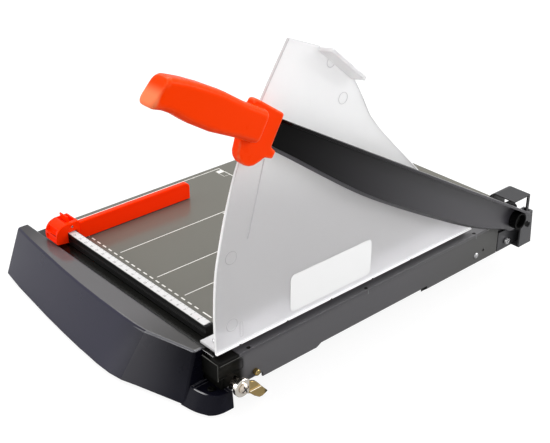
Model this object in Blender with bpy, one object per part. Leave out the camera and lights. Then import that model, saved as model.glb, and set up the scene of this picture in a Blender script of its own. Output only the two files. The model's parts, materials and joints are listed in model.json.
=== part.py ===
"""Guillotine paper cutter for A4 sheets, with its arm held up as it stands ready to cut.

Metres. +X points to the operator's right, across the cut. +Y points away from the operator, along the cut.
+Z points up. The pieces are laid out about the middle of the table's top surface. At the end all of them move
together, so that the origin lies on the desk, in the middle of the whole machine's box.
"""

import math

import bmesh
import bpy
from mathutils import Vector

# Common to many pieces
GAP = 0.0003
SHEET = 0.0015
STEEL = 0.002
EDGE = 0.0005
RUNNING = 0.0001
OVERRUN = 0.010
HEAD_RADIUS = 0.003
HEAD_HEIGHT = 0.0012
SHANK_RADIUS = 0.0015
HEAD_RIM_SHARE = 0.8
CROSS_LONG_SHARE = 0.62
CROSS_THIN_SHARE = 0.13
CROSS_DEPTH_SHARE = 0.45

# Table and the four sides below it. The desk is FLOOR_DROP under the table's top.
TABLE_WIDTH = 0.291
TABLE_DEPTH = 0.414
FLOOR_DROP = 0.050
FOOT_HEIGHT = 0.002
FOOT_RADIUS = 0.009
FOOT_RIM_SHARE = 0.9
RAIL_HEIGHT = 0.036
PIVOT_NOTCH = 0.009
PIVOT_NOTCH_HALF = 0.016

# Where the cut runs: the outer face of the bed knife, squared at the fence, with the pivot at its rear end
TABLE_LIP = 0.0062
PIVOT_INSET = 0.0278
PIVOT_UP = 0.002
KNIFE_WIDTH = 0.012
CUT_X = TABLE_WIDTH / 2 + GAP + KNIFE_WIDTH
FRONT_Y = -TABLE_DEPTH / 2
REAR_Y = TABLE_DEPTH / 2
SQUARE_Y = FRONT_Y + TABLE_LIP
PIVOT_Y = REAR_Y - PIVOT_INSET
CUT_LENGTH = PIVOT_Y - SQUARE_Y

# Bed knife: the fixed edge that the blade passes
KNIFE_HEIGHT = 0.003
KNIFE_START = 0.0115
KNIFE_REAR_INSET = 0.036
KNIFE_BLOCK_REACH = 0.0096
KNIFE_SCREW_SHARES = (0.063, 0.441, 0.858)
KNIFE_SCREW_RADIUS = 0.0018

# Side rail under the knife
RAIL_INSET = 0.0006
RAIL_REAR_INSET = 0.0153
RAIL_FLANGE = 0.0115
RAIL_NOSE_DROP = 0.0175
CHAMFER_FRONT = 0.0036
CHAMFER_HIGH = 0.016
CHAMFER_BACK = 0.0155
CHAMFER_LOW = 0.0283
NOTCH_BACK = 0.038
NOTCH_WIDTH = 0.016
NOTCH_RISE = 0.0044
ARCH_FRONT_SHARE = 0.271
ARCH_BACK_SHARE = 0.6653
ARCH_SLOPE = 0.006
ARCH_RISE = 0.003
RECESS_BACK = 0.0163
RECESS_TOP = 0.0055
RECESS_BOTTOM = 0.0165
RECESS_DEPTH = 0.0012
RIVET_INSET = 0.0501
RIVET_DROP = 0.0264
RIVET_RADIUS = 0.0034
DIMPLE_INSET = 0.0381
DIMPLE_DROP = 0.0244
DIMPLE_RADIUS = 0.0016
NOSE_PLATE_WIDTH = 0.0222
NOSE_PLATE_DROP = 0.0205
NOSE_SLIT = 0.0016
LOCK_PLATE_BACK = 0.0165
LOCK_PLATE_DROP = 0.0355

# Front end cap
CAP_TOP = 0.0025
CAP_RIGHT = 0.0255
CAP_LEFT_REACH = 0.0172
CAP_DEPTH = 0.047
CAP_TOP_SHARES = (
    (0.0, 0.250), (0.100, 0.325), (0.230, 0.400), (0.340, 0.455), (0.460, 0.500), (0.580, 0.522),
    (0.700, 0.528), (0.770, 0.515), (0.820, 0.490), (0.850, 0.440), (0.925, 0.320), (1.0, 0.205),
)
CAP_FOOT_SHARES = (
    (-0.006, 0.620), (0.100, 0.720), (0.215, 0.795), (0.330, 0.870), (0.450, 0.930), (0.560, 0.975),
    (0.660, 1.0), (0.725, 0.990), (0.775, 0.940), (0.830, 0.820), (0.915, 0.655), (1.0, 0.490),
)
CAP_FOOT_PLACE_SHARES = (0.08, 0.38)
CAP_FOOT_LEAN = 0.0018
CAP_EDGE = 0.0022
CAP_RIGHT_X = CUT_X - CAP_RIGHT
CAP_LEFT_X = -TABLE_WIDTH / 2 - CAP_LEFT_REACH
CAP_BACK_Y = FRONT_Y - GAP

# Low step at the right end of the cap, with a screw in its tray
STEP_DROP = 0.0305
STEP_BACK = 0.008
STEP_LENGTH = 0.0342
STEP_DEPTH = 0.0326
STEP_TOP_SHARES = (
    (0.0, 0.750), (0.180, 0.735), (0.420, 0.705), (0.640, 0.640), (0.800, 0.550), (0.890, 0.445),
    (0.930, 0.320), (0.950, 0.180), (0.960, 0.020),
)
STEP_FOOT_SHARES = (
    (0.0, 0.985), (0.180, 0.975), (0.420, 0.930), (0.640, 0.850), (0.820, 0.735), (0.930, 0.575),
    (0.980, 0.390), (0.990, 0.190), (0.990, 0.010),
)
STEP_OVERLAP = 0.004
STEP_RIM = 0.0018
TRAY_MIDDLE_SHARE = 0.36
TRAY_DEPTH = 0.0025
CAP_SCREW_X = 0.0125
CAP_SCREW_Y = 0.0035
CAP_SCREW_RADIUS = 0.0034
CAP_SCREW_HEIGHT = 0.0016

# Fence with its scale strip
FENCE_FRONT = 0.0045
FENCE_DEPTH = 0.0095
FENCE_HEIGHT = 0.012
FENCE_LEFT_INSET = 0.0263
FENCE_RIGHT = 0.038
FENCE_GROOVE = 0.0012
FENCE_GROOVE_TOP = 0.009
FENCE_GROOVE_BOTTOM = 0.006
SCALE_THICKNESS = 0.0006
SCALE_FRONT_INSET = 0.0004
SCALE_WIDTH = 0.0076
SCALE_END_INSET = 0.0015
FENCE_LEFT_X = -TABLE_WIDTH / 2 + FENCE_LEFT_INSET
FENCE_RIGHT_X = CUT_X - FENCE_RIGHT
FENCE_Y = SQUARE_Y + FENCE_FRONT

# Backstop that slides on the fence
STOP_OVERHANG = 0.002
STOP_WIDTH = 0.022
STOP_FRONT_REACH = 0.0138
STOP_LENGTH = 0.0273
STOP_HEIGHT = 0.0232
STOP_CURVE_SHARES = (
    (0.030, 0.150), (0.0, 0.330), (0.012, 0.560), (0.075, 0.745), (0.180, 0.880), (0.300, 0.955),
    (0.440, 1.0),
)
STOP_BACK_SHARES = ((0.960, 1.0), (1.0, 0.930), (1.0, 0.025))
STOP_CLEARANCE = 0.0005
STOP_EDGE = 0.0007
WINDOW_MARGIN = 0.003
WINDOW_DEPTHS = (0.0014, 0.0041)
WINDOW_BOTTOM = 0.0055
WINDOW_HEIGHT = 0.006
WINDOW_BAR = 0.002
BAR_INSET = 0.001
BAR_THICKNESS = 0.006
BAR_LENGTH = 0.1387
BAR_HEIGHT = 0.020
BAR_LIFT = 0.0006
BAR_CORNER = 0.006
STOP_LEFT_X = FENCE_LEFT_X - STOP_OVERHANG
STOP_RIGHT_X = STOP_LEFT_X + STOP_WIDTH
STOP_Y = FENCE_Y - STOP_FRONT_REACH

# Clamp tab in the backstop's top
CLAMP_BACK = 0.005
CLAMP_SINK = 0.0046
CLAMP_RADIUS = 0.0028
CLAMP_PIN_RADIUS = 0.0011
CLAMP_WIDTH = 0.014
CLAMP_OFFSET = 0.0025
CLAMP_TAB_REACH = 0.0095
CLAMP_TAB_THICKNESS = 0.0022
CLAMP_TAB_TIP_SHARE = 0.8
CLAMP_TAB_ANGLE = math.radians(100)
CLAMP_SLOT_FRONT = 0.005
CLAMP_SLOT_BACK = 0.0055
CLAMP_SLOT_DEPTH = 0.0082
CLAMP_Y = FENCE_Y + CLAMP_BACK
CLAMP_Z = STOP_HEIGHT - CLAMP_SINK

# Clear guard between the hand and the blade
GUARD_OUT = 0.0055
GUARD_THICKNESS = 0.003
GUARD_FRONT_REACH = 0.009
GUARD_REAR_INSET = 0.054
GUARD_HEIGHT = 0.262
GUARD_FRONT_SHARES = (
    (0.003, 0.016), (0.0, 0.153), (0.007, 0.298), (0.022, 0.397), (0.048, 0.527), (0.087, 0.668),
    (0.160, 0.844), (0.239, 1.0),
)
GUARD_REAR_SHARES = (
    (0.334, 0.950), (0.451, 0.822), (0.522, 0.660), (0.606, 0.538), (0.701, 0.416), (0.860, 0.200),
    (1.0, 0.016),
)
GUARD_EDGE = 0.0006
LIP_REACH = 0.0155
LIP_RISE = 0.003
LIP_LEAN_SHARE = 0.6
FOOT_PLATE_WIDTH = 0.0225
FOOT_PLATE_BACK = 0.003
FOOT_PLATE_END_INSET = 0.004
FOOT_PLATE_LIFT = 0.004
FOOT_PLATE_THICKNESS = 0.0025
GUARD_SCREW_INSET = 0.0095
GUARD_SCREW_X = 0.0127
GUARD_SCREW_HEIGHT = 0.0017
SPACER_RADIUS = 0.0045
LABEL_BACK = 0.083
LABEL_LENGTH = 0.1005
LABEL_BOTTOM = 0.0125
LABEL_HEIGHT = 0.037
LABEL_THICKNESS = 0.0003
LABEL_CORNER = 0.005
GUARD_X = CUT_X - GUARD_OUT
GUARD_Y = SQUARE_Y - GUARD_FRONT_REACH
GUARD_LENGTH = PIVOT_Y - GUARD_REAR_INSET - GUARD_Y

# Arm and blade, laid out along the arm from the pivot
REST_ANGLE = math.radians(30)
ARM_REACH = 0.0025
ARM_LENGTH = CUT_LENGTH + ARM_REACH
ARM_TOP = 0.012
ARM_DEPTH = 0.0275
ARM_REAR = 0.009
ARM_EYE = 0.014
BLADE_THICKNESS = 0.0028
WEB_THICKNESS = 0.003
FLANGE_REACH = 0.0136
FLANGE_THICKNESS = 0.0024
TANG_LENGTH = 0.104
TANG_HALF = 0.0085
BELLY_SHARES = (
    (1.0, 0.490), (0.930, 0.575), (0.860, 0.680), (0.784, 0.790), (0.710, 0.890), (0.643, 0.955),
    (0.570, 0.985), (0.497, 0.990), (0.430, 0.985), (0.363, 0.970), (0.290, 0.945), (0.221, 0.915),
    (0.150, 0.850), (0.097, 0.775), (0.060, 0.680),
)
BLADE_SHOW = 0.003
BLADE_TOP = 0.002
BLADE_BEVEL = 0.0026
BLADE_TIP_BACK = 0.0045
BLADE_SCREW_SHARES = (0.197, 0.5, 0.803)
BLADE_SCREW_DROP = 0.006
BLADE_SCREW_RADIUS = 0.0035
WEB_OUT = GAP + BLADE_THICKNESS + GAP

# Pivot hardware
BOLT_RADIUS = 0.004
BOLT_HEAD_RADIUS = 0.0062
BOLT_HEAD_HEIGHT = 0.004
BUSH_RADIUS = 0.010
NUT_RADIUS = 0.0072
NUT_HEIGHT = 0.0055
DISH_RADIUS = 0.0094
DISH_DEPTH = 0.0085
DISH_WALL = 0.002
PLATE_THICKNESS = 0.004
PLATE_AHEAD = 0.030
PLATE_BEHIND = 0.017
PLATE_TOP = 0.016
PLATE_BOTTOM = 0.033

# Rear bracket and the hoop over the pivot, laid out behind the pivot
BRACKET_CLEARANCE = 0.0013
BRACKET_REAR = 0.032
BRACKET_TAPER = 0.003
BRACKET_LOW_TOP = 0.0135
BRACKET_TOP = 0.003
BRACKET_OUT = 0.007
BRACKET_SHOULDER = 0.011
BRACKET_BOTTOM = 0.036
BRACKET_HOLE_BACK = 0.0237
BRACKET_HOLE_DROP = 0.0128
BRACKET_HOLE_RADIUS = 0.0032
BRACKET_BOLT_DROP = 0.027
BRACKET_BOLT_RADIUS = 0.0038
BRACKET_BOLT_HEIGHT = 0.0028
HOOP_FRONT = 0.006
HOOP_REAR = 0.021
HOOP_TOP = 0.0247
HOOP_SHEET = 0.0018
HOOP_LEFT = 0.0235
HOOP_BEND = 0.009
HOOP_FOOT = 0.008
HOOP_LEG = 0.004
BRACKET_X = CUT_X + BRACKET_OUT + STEEL

# Handle at the end of the arm
GRIP_OFFSET = 0.0285
GRIP_LENGTH = 0.104
GRIP_DEPTH = 0.0165
GRIP_IN = 0.003
GRIP_OUT = 0.0165
GRIP_ROUND = 0.0052
GRIP_SHARES = (
    ((-0.035, 0.790), (-0.035, -0.680), 0.25), ((-0.022, 0.860), (-0.022, -0.740), 0.0),
    ((0.200, 0.860), (0.150, -0.775), 0.0), ((0.430, 0.965), (0.430, -0.905), 0.0),
    ((0.640, 0.940), (0.640, -0.850), 0.0), ((0.790, 0.870), (0.800, -0.700), 0.0),
    ((0.870, 0.800), (0.900, -0.700), 0.0), ((0.930, 0.740), (0.970, -0.780), 0.0),
    ((0.948, 0.690), (1.003, -0.790), 0.12), ((0.956, 0.630), (1.014, -0.750), 0.38),
)
SHIELD_OFFSET = 0.003
SHIELD_LENGTH = 0.033
SHIELD_DEPTH = 0.0325
SHIELD_IN = 0.0005
SHIELD_OUT = 0.0088
SHIELD_SHARES = (
    (0.0, 0.460), (0.030, 0.510), (0.960, 0.600), (1.050, 0.585), (1.080, 0.530), (1.060, -0.300),
    (1.0, -0.560), (0.970, -0.715), (0.890, -0.830), (0.760, -0.915), (0.600, -0.955), (0.450, -0.945),
    (0.320, -0.890), (0.180, -0.760), (0.075, -0.630), (-0.180, -0.605), (-0.200, -0.400),
    (0.0, -0.345),
)
SHIELD_EDGE = 0.0012
HANDLE_SCREW_INSETS = (0.062, 0.018)
HANDLE_SCREW_RADIUS = 0.0036
HANDLE_SCREW_HEIGHT = 0.0017
HANDLE_SCREW_SINK = 0.0024
GRIP_START = ARM_LENGTH + GRIP_OFFSET
SHIELD_START = ARM_LENGTH + SHIELD_OFFSET

# Blade lock at the front of the side rail
LOCK_BACK = 0.0069
LOCK_DROP = 0.027
LOCK_BUSH_RADIUS = 0.0048
LOCK_BUSH_LENGTH = 0.0066
LOCK_BOSS_RADIUS = 0.0088
LOCK_BOSS_HEIGHT = 0.0038
LOCK_BORE = 0.0024
LOCK_WING_LENGTH = 0.0275
LOCK_WING_DEPTH = 0.015
LOCK_WING_SHARES = (
    (0.0, 0.540), (0.284, 0.180), (0.404, 0.113), (0.510, 0.010), (0.607, -0.180), (0.771, -0.580),
    (1.018, -1.120), (0.920, -1.210), (0.790, -1.300), (0.670, -1.280), (0.470, -1.000),
    (0.290, -0.660), (0.100, -0.540), (0.0, -0.560),
)
LOCK_WING_THICKNESS = 0.0026
LOCK_HEAD_RADIUS = 0.0048
LOCK_HEAD_HEIGHT = 0.0026
LOCK_HEAD_TOP_SHARE = 0.65
STUD_BACK = 0.0291
STUD_DROP = 0.0256
STUD_RADIUS = 0.003
STUD_LENGTH = 0.0045
STUD_TOP_SHARE = 0.75
LOCK_Y = SQUARE_Y + LOCK_BACK

# Blocks below the rear corners of the table
BLOCK_WIDTH = 0.028
BLOCK_DEPTH = 0.028
BLOCK_MARGIN = 0.004
BLOCK_RIGHT_INSET = 0.040
BLOCK_EDGE = 0.001

PIVOT = Vector((CUT_X, PIVOT_Y, PIVOT_UP))
LOCK = Vector((CUT_X, LOCK_Y, -LOCK_DROP))
CLAMP = Vector((STOP_RIGHT_X, CLAMP_Y, CLAMP_Z))


def clear_scene():
    for obj in list(bpy.data.objects):
        bpy.data.objects.remove(obj, do_unlink=True)


def linear(channel):
    share = channel / 255
    return share / 12.92 if share <= 0.04045 else ((share + 0.055) / 1.055) ** 2.4


def material(name, red, green, blue, roughness, metallic=0.0, alpha=1.0):
    made = bpy.data.materials.new(name)
    made.use_nodes = True
    shader = made.node_tree.nodes["Principled BSDF"]
    colour = (linear(red), linear(green), linear(blue), 1.0)
    shader.inputs["Base Color"].default_value = colour
    shader.inputs["Roughness"].default_value = roughness
    shader.inputs["Metallic"].default_value = metallic
    shader.inputs["Alpha"].default_value = alpha
    made.diffuse_color = colour[:3] + (alpha,)
    return made


def table_paint():
    return material("table_paint", 128, 125, 116, 0.45)


def rail_paint():
    return material("rail_paint", 116, 117, 114, 0.5, 0.1)


def bracket_paint():
    return material("bracket_paint", 108, 107, 112, 0.45, 0.2)


def knife_steel():
    return material("knife_steel", 72, 68, 78, 0.4, 0.6)


def cap_plastic():
    return material("cap_plastic", 58, 56, 68, 0.45)


def fence_black():
    return material("fence_black", 16, 16, 18, 0.5)


def strip_white():
    return material("strip_white", 238, 236, 234, 0.5)


def guard_clear():
    return material("guard_clear", 214, 214, 214, 0.35, 0.0, 0.35)


def handle_orange():
    return material("handle_orange", 250, 62, 8, 0.3)


def stop_red():
    return material("stop_red", 232, 40, 6, 0.3)


def arm_black():
    return material("arm_black", 40, 40, 46, 0.4, 0.2)


def bright_steel():
    return material("bright_steel", 196, 198, 200, 0.25, 0.9)


def brass():
    return material("brass", 190, 160, 96, 0.3, 0.85)


def rubber():
    return material("rubber", 22, 22, 22, 0.85)


def mesh_object(name, points, faces, paint):
    mesh = bpy.data.meshes.new(name)
    mesh.from_pydata([tuple(point) for point in points], [], faces)
    mesh.validate()
    obj = bpy.data.objects.new(name, mesh)
    bpy.context.scene.collection.objects.link(obj)
    body = bmesh.new()
    body.from_mesh(mesh)
    bmesh.ops.recalc_face_normals(body, faces=body.faces)
    body.to_mesh(mesh)
    body.free()
    if paint:
        mesh.materials.append(paint)
    return obj


def place(axis, along, first, second):
    """The point at a distance along one axis, with the other two coordinates in their own order."""
    if axis == "X":
        return (along, first, second)
    if axis == "Y":
        return (first, along, second)
    return (first, second, along)


def prism(name, outline, axis, start, end, paint=None):
    """A closed outline pushed along an axis from start to end."""
    return loft(name, [[place(axis, along, a, b) for a, b in outline] for along in (start, end)], paint)


def box(name, low, high, paint=None):
    outline = ((low[0], low[1]), (high[0], low[1]), (high[0], high[1]), (low[0], high[1]))
    return prism(name, outline, "Z", low[2], high[2], paint)


def loft(name, rings, paint=None):
    """A closed body through rings of as many points each, with flat ends."""
    count = len(rings[0])
    points = [point for ring in rings for point in ring]
    last = count * (len(rings) - 1)
    faces = [tuple(range(count)), tuple(range(last + count - 1, last - 1, -1))]
    for near in range(0, last, count):
        for i in range(count):
            j = (i + 1) % count
            faces.append((near + i, near + j, near + count + j, near + count + i))
    return mesh_object(name, points, faces, paint)


def circle(centre, radius, count):
    turns = [2 * math.pi * i / count for i in range(count)]
    return [(centre[0] + radius * math.cos(t), centre[1] + radius * math.sin(t)) for t in turns]


def rod(name, axis, centre, radius, start, end, paint=None, count=40):
    return prism(name, circle(centre, radius, count), axis, start, end, paint)


def stack(name, axis, centre, steps, paint=None, count=40):
    """A turned piece: steps are (along, radius) pairs, and a radius of zero closes an end."""
    points = []
    faces = []
    rings = []
    for along, radius in steps:
        if radius == 0:
            rings.append([len(points)])
            points.append(place(axis, along, centre[0], centre[1]))
            continue
        rings.append(list(range(len(points), len(points) + count)))
        points += [place(axis, along, a, b) for a, b in circle(centre, radius, count)]
    for near, far in zip(rings, rings[1:]):
        for i in range(count):
            j = (i + 1) % count
            if len(near) == 1:
                faces.append((near[0], far[i], far[j]))
            elif len(far) == 1:
                faces.append((near[i], near[j], far[0]))
            else:
                faces.append((near[i], near[j], far[j], far[i]))
    return mesh_object(name, points, faces, paint)


def smooth(points, steps=4):
    """A curve through the points, with its ends at the first and the last."""
    found = []
    last = len(points) - 1
    for i in range(last):
        p0, p1, p2, p3 = (Vector(points[max(0, min(last, i + k))]) for k in (-1, 0, 1, 2))
        for k in range(steps):
            t = k / steps
            bend = (2 * p0 - 5 * p1 + 4 * p2 - p3) * t * t + (3 * p1 - p0 - 3 * p2 + p3) * t ** 3
            found.append(tuple((2 * p1 + (p2 - p0) * t + bend) / 2))
    found.append(tuple(points[-1]))
    return found


def rounded(low, high, radius, steps=6):
    """A rectangle outline with round corners."""
    left, right = low[0] + radius, high[0] - radius
    bottom, top = low[1] + radius, high[1] - radius
    centres = ((right, top), (left, top), (left, bottom), (right, bottom))
    return [point for k, centre in enumerate(centres) for point in quarter(centre, radius, k, steps)]


def quarter(centre, radius, first, steps):
    """Points of a quarter circle about a centre, from the first angle, in quarter turns, on."""
    turns = [(first + k / steps) * math.pi / 2 for k in range(steps + 1)]
    return [(centre[0] + radius * math.cos(t), centre[1] + radius * math.sin(t)) for t in turns]


def bevel(obj, width, segments=2, angle=30):
    edge = obj.modifiers.new("edge", "BEVEL")
    edge.width = width
    edge.segments = segments
    edge.limit_method = "ANGLE"
    edge.angle_limit = math.radians(angle)
    return obj


def combine(obj, other, operation):
    change = obj.modifiers.new(operation.lower(), "BOOLEAN")
    change.operation = operation
    change.solver = "EXACT"
    change.object = other
    other.hide_render = True
    other.display_type = "WIRE"
    return obj


def cut(obj, *cutters):
    for cutter in cutters:
        combine(obj, cutter, "DIFFERENCE")
    return obj


def drill(obj, name, axis, centre, radius, start, end, count=28):
    """Cuts a round hole and gives back its cutter."""
    cutter = rod(name, axis, centre, radius, start, end, None, count)
    cut(obj, cutter)
    return cutter


def join(obj, *others):
    for other in others:
        combine(obj, other, "UNION")
    return obj


def set_origin(obj, point):
    """Moves the origin to a point on the joint's axis, and leaves the shape where it is."""
    for vertex in obj.data.vertices:
        vertex.co -= point
    obj.location = point
    return obj


def arm_point(along, up):
    """Where a place on the arm, measured from the pivot along it and up from it, stands at rest."""
    cosine = math.cos(REST_ANGLE)
    sine = math.sin(REST_ANGLE)
    return (PIVOT_Y - along * cosine + up * sine, PIVOT_UP + along * sine + up * cosine)


def arm_prism(name, outline, start, end, paint=None):
    return prism(name, [arm_point(a, b) for a, b in outline], "X", CUT_X + start, CUT_X + end, paint)


def screw_head(name, axis, centre, start, outward, radius, height, paint):
    """A round head with a cross slot, standing out from start."""
    face = start + outward * height
    steps = (
        (start, 0), (start, radius), (start + outward * height / 2, radius), (face, radius * HEAD_RIM_SHARE),
        (face, 0),
    )
    head = stack(name, axis, centre, steps, paint, 32)
    long = radius * CROSS_LONG_SHARE
    thin = radius * CROSS_THIN_SHARE
    depth = face - outward * height * CROSS_DEPTH_SHARE
    over = face + outward * height
    for k, (a, b) in enumerate(((long, thin), (thin, long))):
        slot = [
            (centre[0] - a, centre[1] - b), (centre[0] + a, centre[1] - b),
            (centre[0] + a, centre[1] + b), (centre[0] - a, centre[1] + b),
        ]
        cut(head, prism(f"{name}_slot_{k}", slot, axis, depth, over))
    return head


def make_table():
    paint = table_paint()
    right = TABLE_WIDTH / 2
    notch_front = PIVOT_Y - PIVOT_NOTCH_HALF
    notch_back = PIVOT_Y + PIVOT_NOTCH_HALF
    outline = (
        (-right, FRONT_Y), (right, FRONT_Y), (right, notch_front), (right - PIVOT_NOTCH, notch_front),
        (right - PIVOT_NOTCH, notch_back), (right, notch_back), (right, REAR_Y), (-right, REAR_Y),
    )
    top = prism("table_top", outline, "Z", -SHEET, 0, paint)
    bevel(top, EDGE)
    under = -SHEET - GAP
    left = box(
        "left_rail", (-right, FRONT_Y, -RAIL_HEIGHT), (-right + STEEL, REAR_Y, under), rail_paint(),
    )
    bevel(left, EDGE)
    rear = box(
        "rear_rail", (-right + STEEL + GAP, REAR_Y - STEEL, -RAIL_HEIGHT),
        (right - RAIL_FLANGE, REAR_Y, under), rail_paint(),
    )
    bevel(rear, EDGE)


def make_rear_blocks():
    low = -FLOOR_DROP + FOOT_HEIGHT
    high = -SHEET - GAP
    back = REAR_Y - STEEL - BLOCK_MARGIN
    lefts = (-TABLE_WIDTH / 2 + STEEL + BLOCK_MARGIN, CUT_X - BLOCK_RIGHT_INSET - BLOCK_WIDTH)
    for k, left in enumerate(lefts):
        block = box(
            f"rear_block_{k + 1}", (left, back - BLOCK_DEPTH, low), (left + BLOCK_WIDTH, back, high),
            cap_plastic(),
        )
        bevel(block, BLOCK_EDGE)
        yield left + BLOCK_WIDTH / 2, back - BLOCK_DEPTH / 2


def make_feet(rear_places):
    places = list(rear_places)
    across, along = CAP_FOOT_PLACE_SHARES
    places.append((CAP_LEFT_X + (CAP_RIGHT_X - CAP_LEFT_X) * across, CAP_BACK_Y - CAP_DEPTH * along))
    places.append((CUT_X - CAP_SCREW_X, CAP_BACK_Y - CAP_SCREW_Y))
    low = -FLOOR_DROP
    high = low + FOOT_HEIGHT - GAP
    for k, centre in enumerate(places):
        steps = (
            (high, 0), (high, FOOT_RADIUS), (low + FOOT_HEIGHT / 3, FOOT_RADIUS),
            (low, FOOT_RADIUS * FOOT_RIM_SHARE), (low, 0),
        )
        stack(f"foot_{k + 1}", "Z", centre, steps, rubber(), 36)


def rail_outline():
    """The side rail seen from the right: a nose, a slope up to it, a notch and one long raised arch."""
    top = -KNIFE_HEIGHT - GAP
    low = -RAIL_HEIGHT
    front = SQUARE_Y - KNIFE_BLOCK_REACH
    rear = PIVOT_Y - RAIL_REAR_INSET
    arch_front = SQUARE_Y + CUT_LENGTH * ARCH_FRONT_SHARE
    arch_back = SQUARE_Y + CUT_LENGTH * ARCH_BACK_SHARE
    notch_back = SQUARE_Y + NOTCH_BACK
    notch_front = notch_back - NOTCH_WIDTH
    return [
        (front, top), (rear, top), (rear, low), (arch_back, low), (arch_back - ARCH_SLOPE, low + ARCH_RISE),
        (arch_front + ARCH_SLOPE, low + ARCH_RISE), (arch_front, low), (notch_back, low),
        (notch_back, low + NOTCH_RISE), (notch_front, low + NOTCH_RISE),
        (SQUARE_Y + CHAMFER_BACK, -CHAMFER_LOW), (SQUARE_Y + CHAMFER_FRONT, -CHAMFER_HIGH),
        (front, -RAIL_NOSE_DROP),
    ]


def make_side_rail():
    face = CUT_X - RAIL_INSET
    inner = face - STEEL
    top = -KNIFE_HEIGHT - GAP
    rail = prism("side_rail", rail_outline(), "X", inner, face, rail_paint())
    flange = box(
        "side_rail_flange", (inner - RAIL_FLANGE, SQUARE_Y + KNIFE_START, top - STEEL),
        (inner + STEEL / 2, PIVOT_Y - KNIFE_REAR_INSET, top),
    )
    join(rail, flange)
    front = SQUARE_Y - KNIFE_BLOCK_REACH
    back = SQUARE_Y + RECESS_BACK
    hollow = rounded((front - OVERRUN, -RECESS_BOTTOM), (back, -RECESS_TOP), RECESS_DEPTH * 2)
    cut(rail, prism("side_rail_recess", hollow, "X", face - RECESS_DEPTH, face + OVERRUN))
    for name, y, drop, radius in (
        ("rivet", PIVOT_Y - RIVET_INSET, RIVET_DROP, SHANK_RADIUS + GAP),
        ("dimple", PIVOT_Y - DIMPLE_INSET, DIMPLE_DROP, DIMPLE_RADIUS),
        ("stud", SQUARE_Y + STUD_BACK, STUD_DROP, SHANK_RADIUS + GAP),
    ):
        drill(rail, f"side_rail_{name}_hole", "X", (y, -drop), radius, inner - OVERRUN, face + OVERRUN)
    outline = (
        (inner - NOSE_PLATE_WIDTH, top), (inner - GAP, top), (inner - NOSE_SLIT, -NOSE_PLATE_DROP),
        (inner - NOSE_PLATE_WIDTH, -NOSE_PLATE_DROP),
    )
    bevel(prism("rail_nose_plate", outline, "Y", front, front + SHEET, rail_paint()), EDGE / 2)


def make_front_rail():
    """The cross member behind the end cap, and the plate behind the side rail that carries the lock."""
    inner = CUT_X - RAIL_INSET - STEEL
    low = -STEP_DROP + GAP
    rail = box(
        "front_rail", (-TABLE_WIDTH / 2 + STEEL + GAP, FRONT_Y, low),
        (inner - GAP, FRONT_Y + STEEL, -KNIFE_HEIGHT - GAP), rail_paint(),
    )
    bevel(rail, EDGE)
    front = FRONT_Y + STEEL + GAP
    step = FRONT_Y + STEP_BACK + GAP
    back = SQUARE_Y + LOCK_PLATE_BACK
    top = -KNIFE_HEIGHT - STEEL - 2 * GAP
    deep = -LOCK_PLATE_DROP
    outline = [(front, top), (front, low), (step, low), (step, deep), (back, deep), (back, top)]
    plate = prism("lock_plate", outline, "X", inner - GAP - STEEL, inner - GAP, rail_paint())
    bevel(plate, EDGE)
    centre = (LOCK_Y, -LOCK_DROP)
    drill(plate, "lock_plate_hole", "X", centre, LOCK_BORE + GAP, inner - OVERRUN, inner + OVERRUN)


def make_rivet_and_stud():
    face = CUT_X - RAIL_INSET
    inner = face - STEEL
    centre = (PIVOT_Y - RIVET_INSET, -RIVET_DROP)
    steps = (
        (inner, 0), (inner, SHANK_RADIUS), (face + GAP, SHANK_RADIUS), (face + GAP, RIVET_RADIUS),
        (face + HEAD_HEIGHT, RIVET_RADIUS * HEAD_RIM_SHARE), (face + HEAD_HEIGHT + EDGE, RIVET_RADIUS / 2),
        (face + HEAD_HEIGHT + EDGE, 0),
    )
    stack("rail_rivet", "X", centre, steps, bright_steel(), 28)
    centre = (SQUARE_Y + STUD_BACK, -STUD_DROP)
    steps = (
        (inner, 0), (inner, SHANK_RADIUS), (face + GAP, SHANK_RADIUS), (face + GAP, STUD_RADIUS),
        (face + STUD_LENGTH - EDGE, STUD_RADIUS), (face + STUD_LENGTH, STUD_RADIUS * STUD_TOP_SHARE),
        (face + STUD_LENGTH, 0),
    )
    stack("lock_stud", "X", centre, steps, brass(), 28)


def make_knife():
    left = CUT_X - KNIFE_WIDTH
    start = SQUARE_Y + KNIFE_START
    end = PIVOT_Y - KNIFE_REAR_INSET
    knife = box("bed_knife", (left, start, -KNIFE_HEIGHT), (CUT_X, end, 0), knife_steel())
    block = box(
        "knife_end_block", (left, SQUARE_Y - KNIFE_BLOCK_REACH, -KNIFE_HEIGHT), (CUT_X, start - GAP, 0),
        knife_steel(),
    )
    bevel(block, EDGE)
    for k, share in enumerate(KNIFE_SCREW_SHARES):
        centre = (CUT_X - KNIFE_WIDTH / 4, SQUARE_Y + share * CUT_LENGTH)
        radius = KNIFE_SCREW_RADIUS
        drill(knife, f"bed_knife_hole_{k}", "Z", centre, radius + GAP, -HEAD_HEIGHT - GAP, OVERRUN)
        rod(f"knife_screw_{k + 1}", "Z", centre, radius, -HEAD_HEIGHT, -EDGE / 2, bright_steel(), 28)


def cap_ring(shares, height, lean):
    left = CAP_LEFT_X - lean
    width = CAP_RIGHT_X - left
    front = [(left + across * width, CAP_BACK_Y - depth * CAP_DEPTH, height) for across, depth in shares]
    return [(CAP_RIGHT_X, CAP_BACK_Y, height), (left, CAP_BACK_Y, height)] + front


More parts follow.
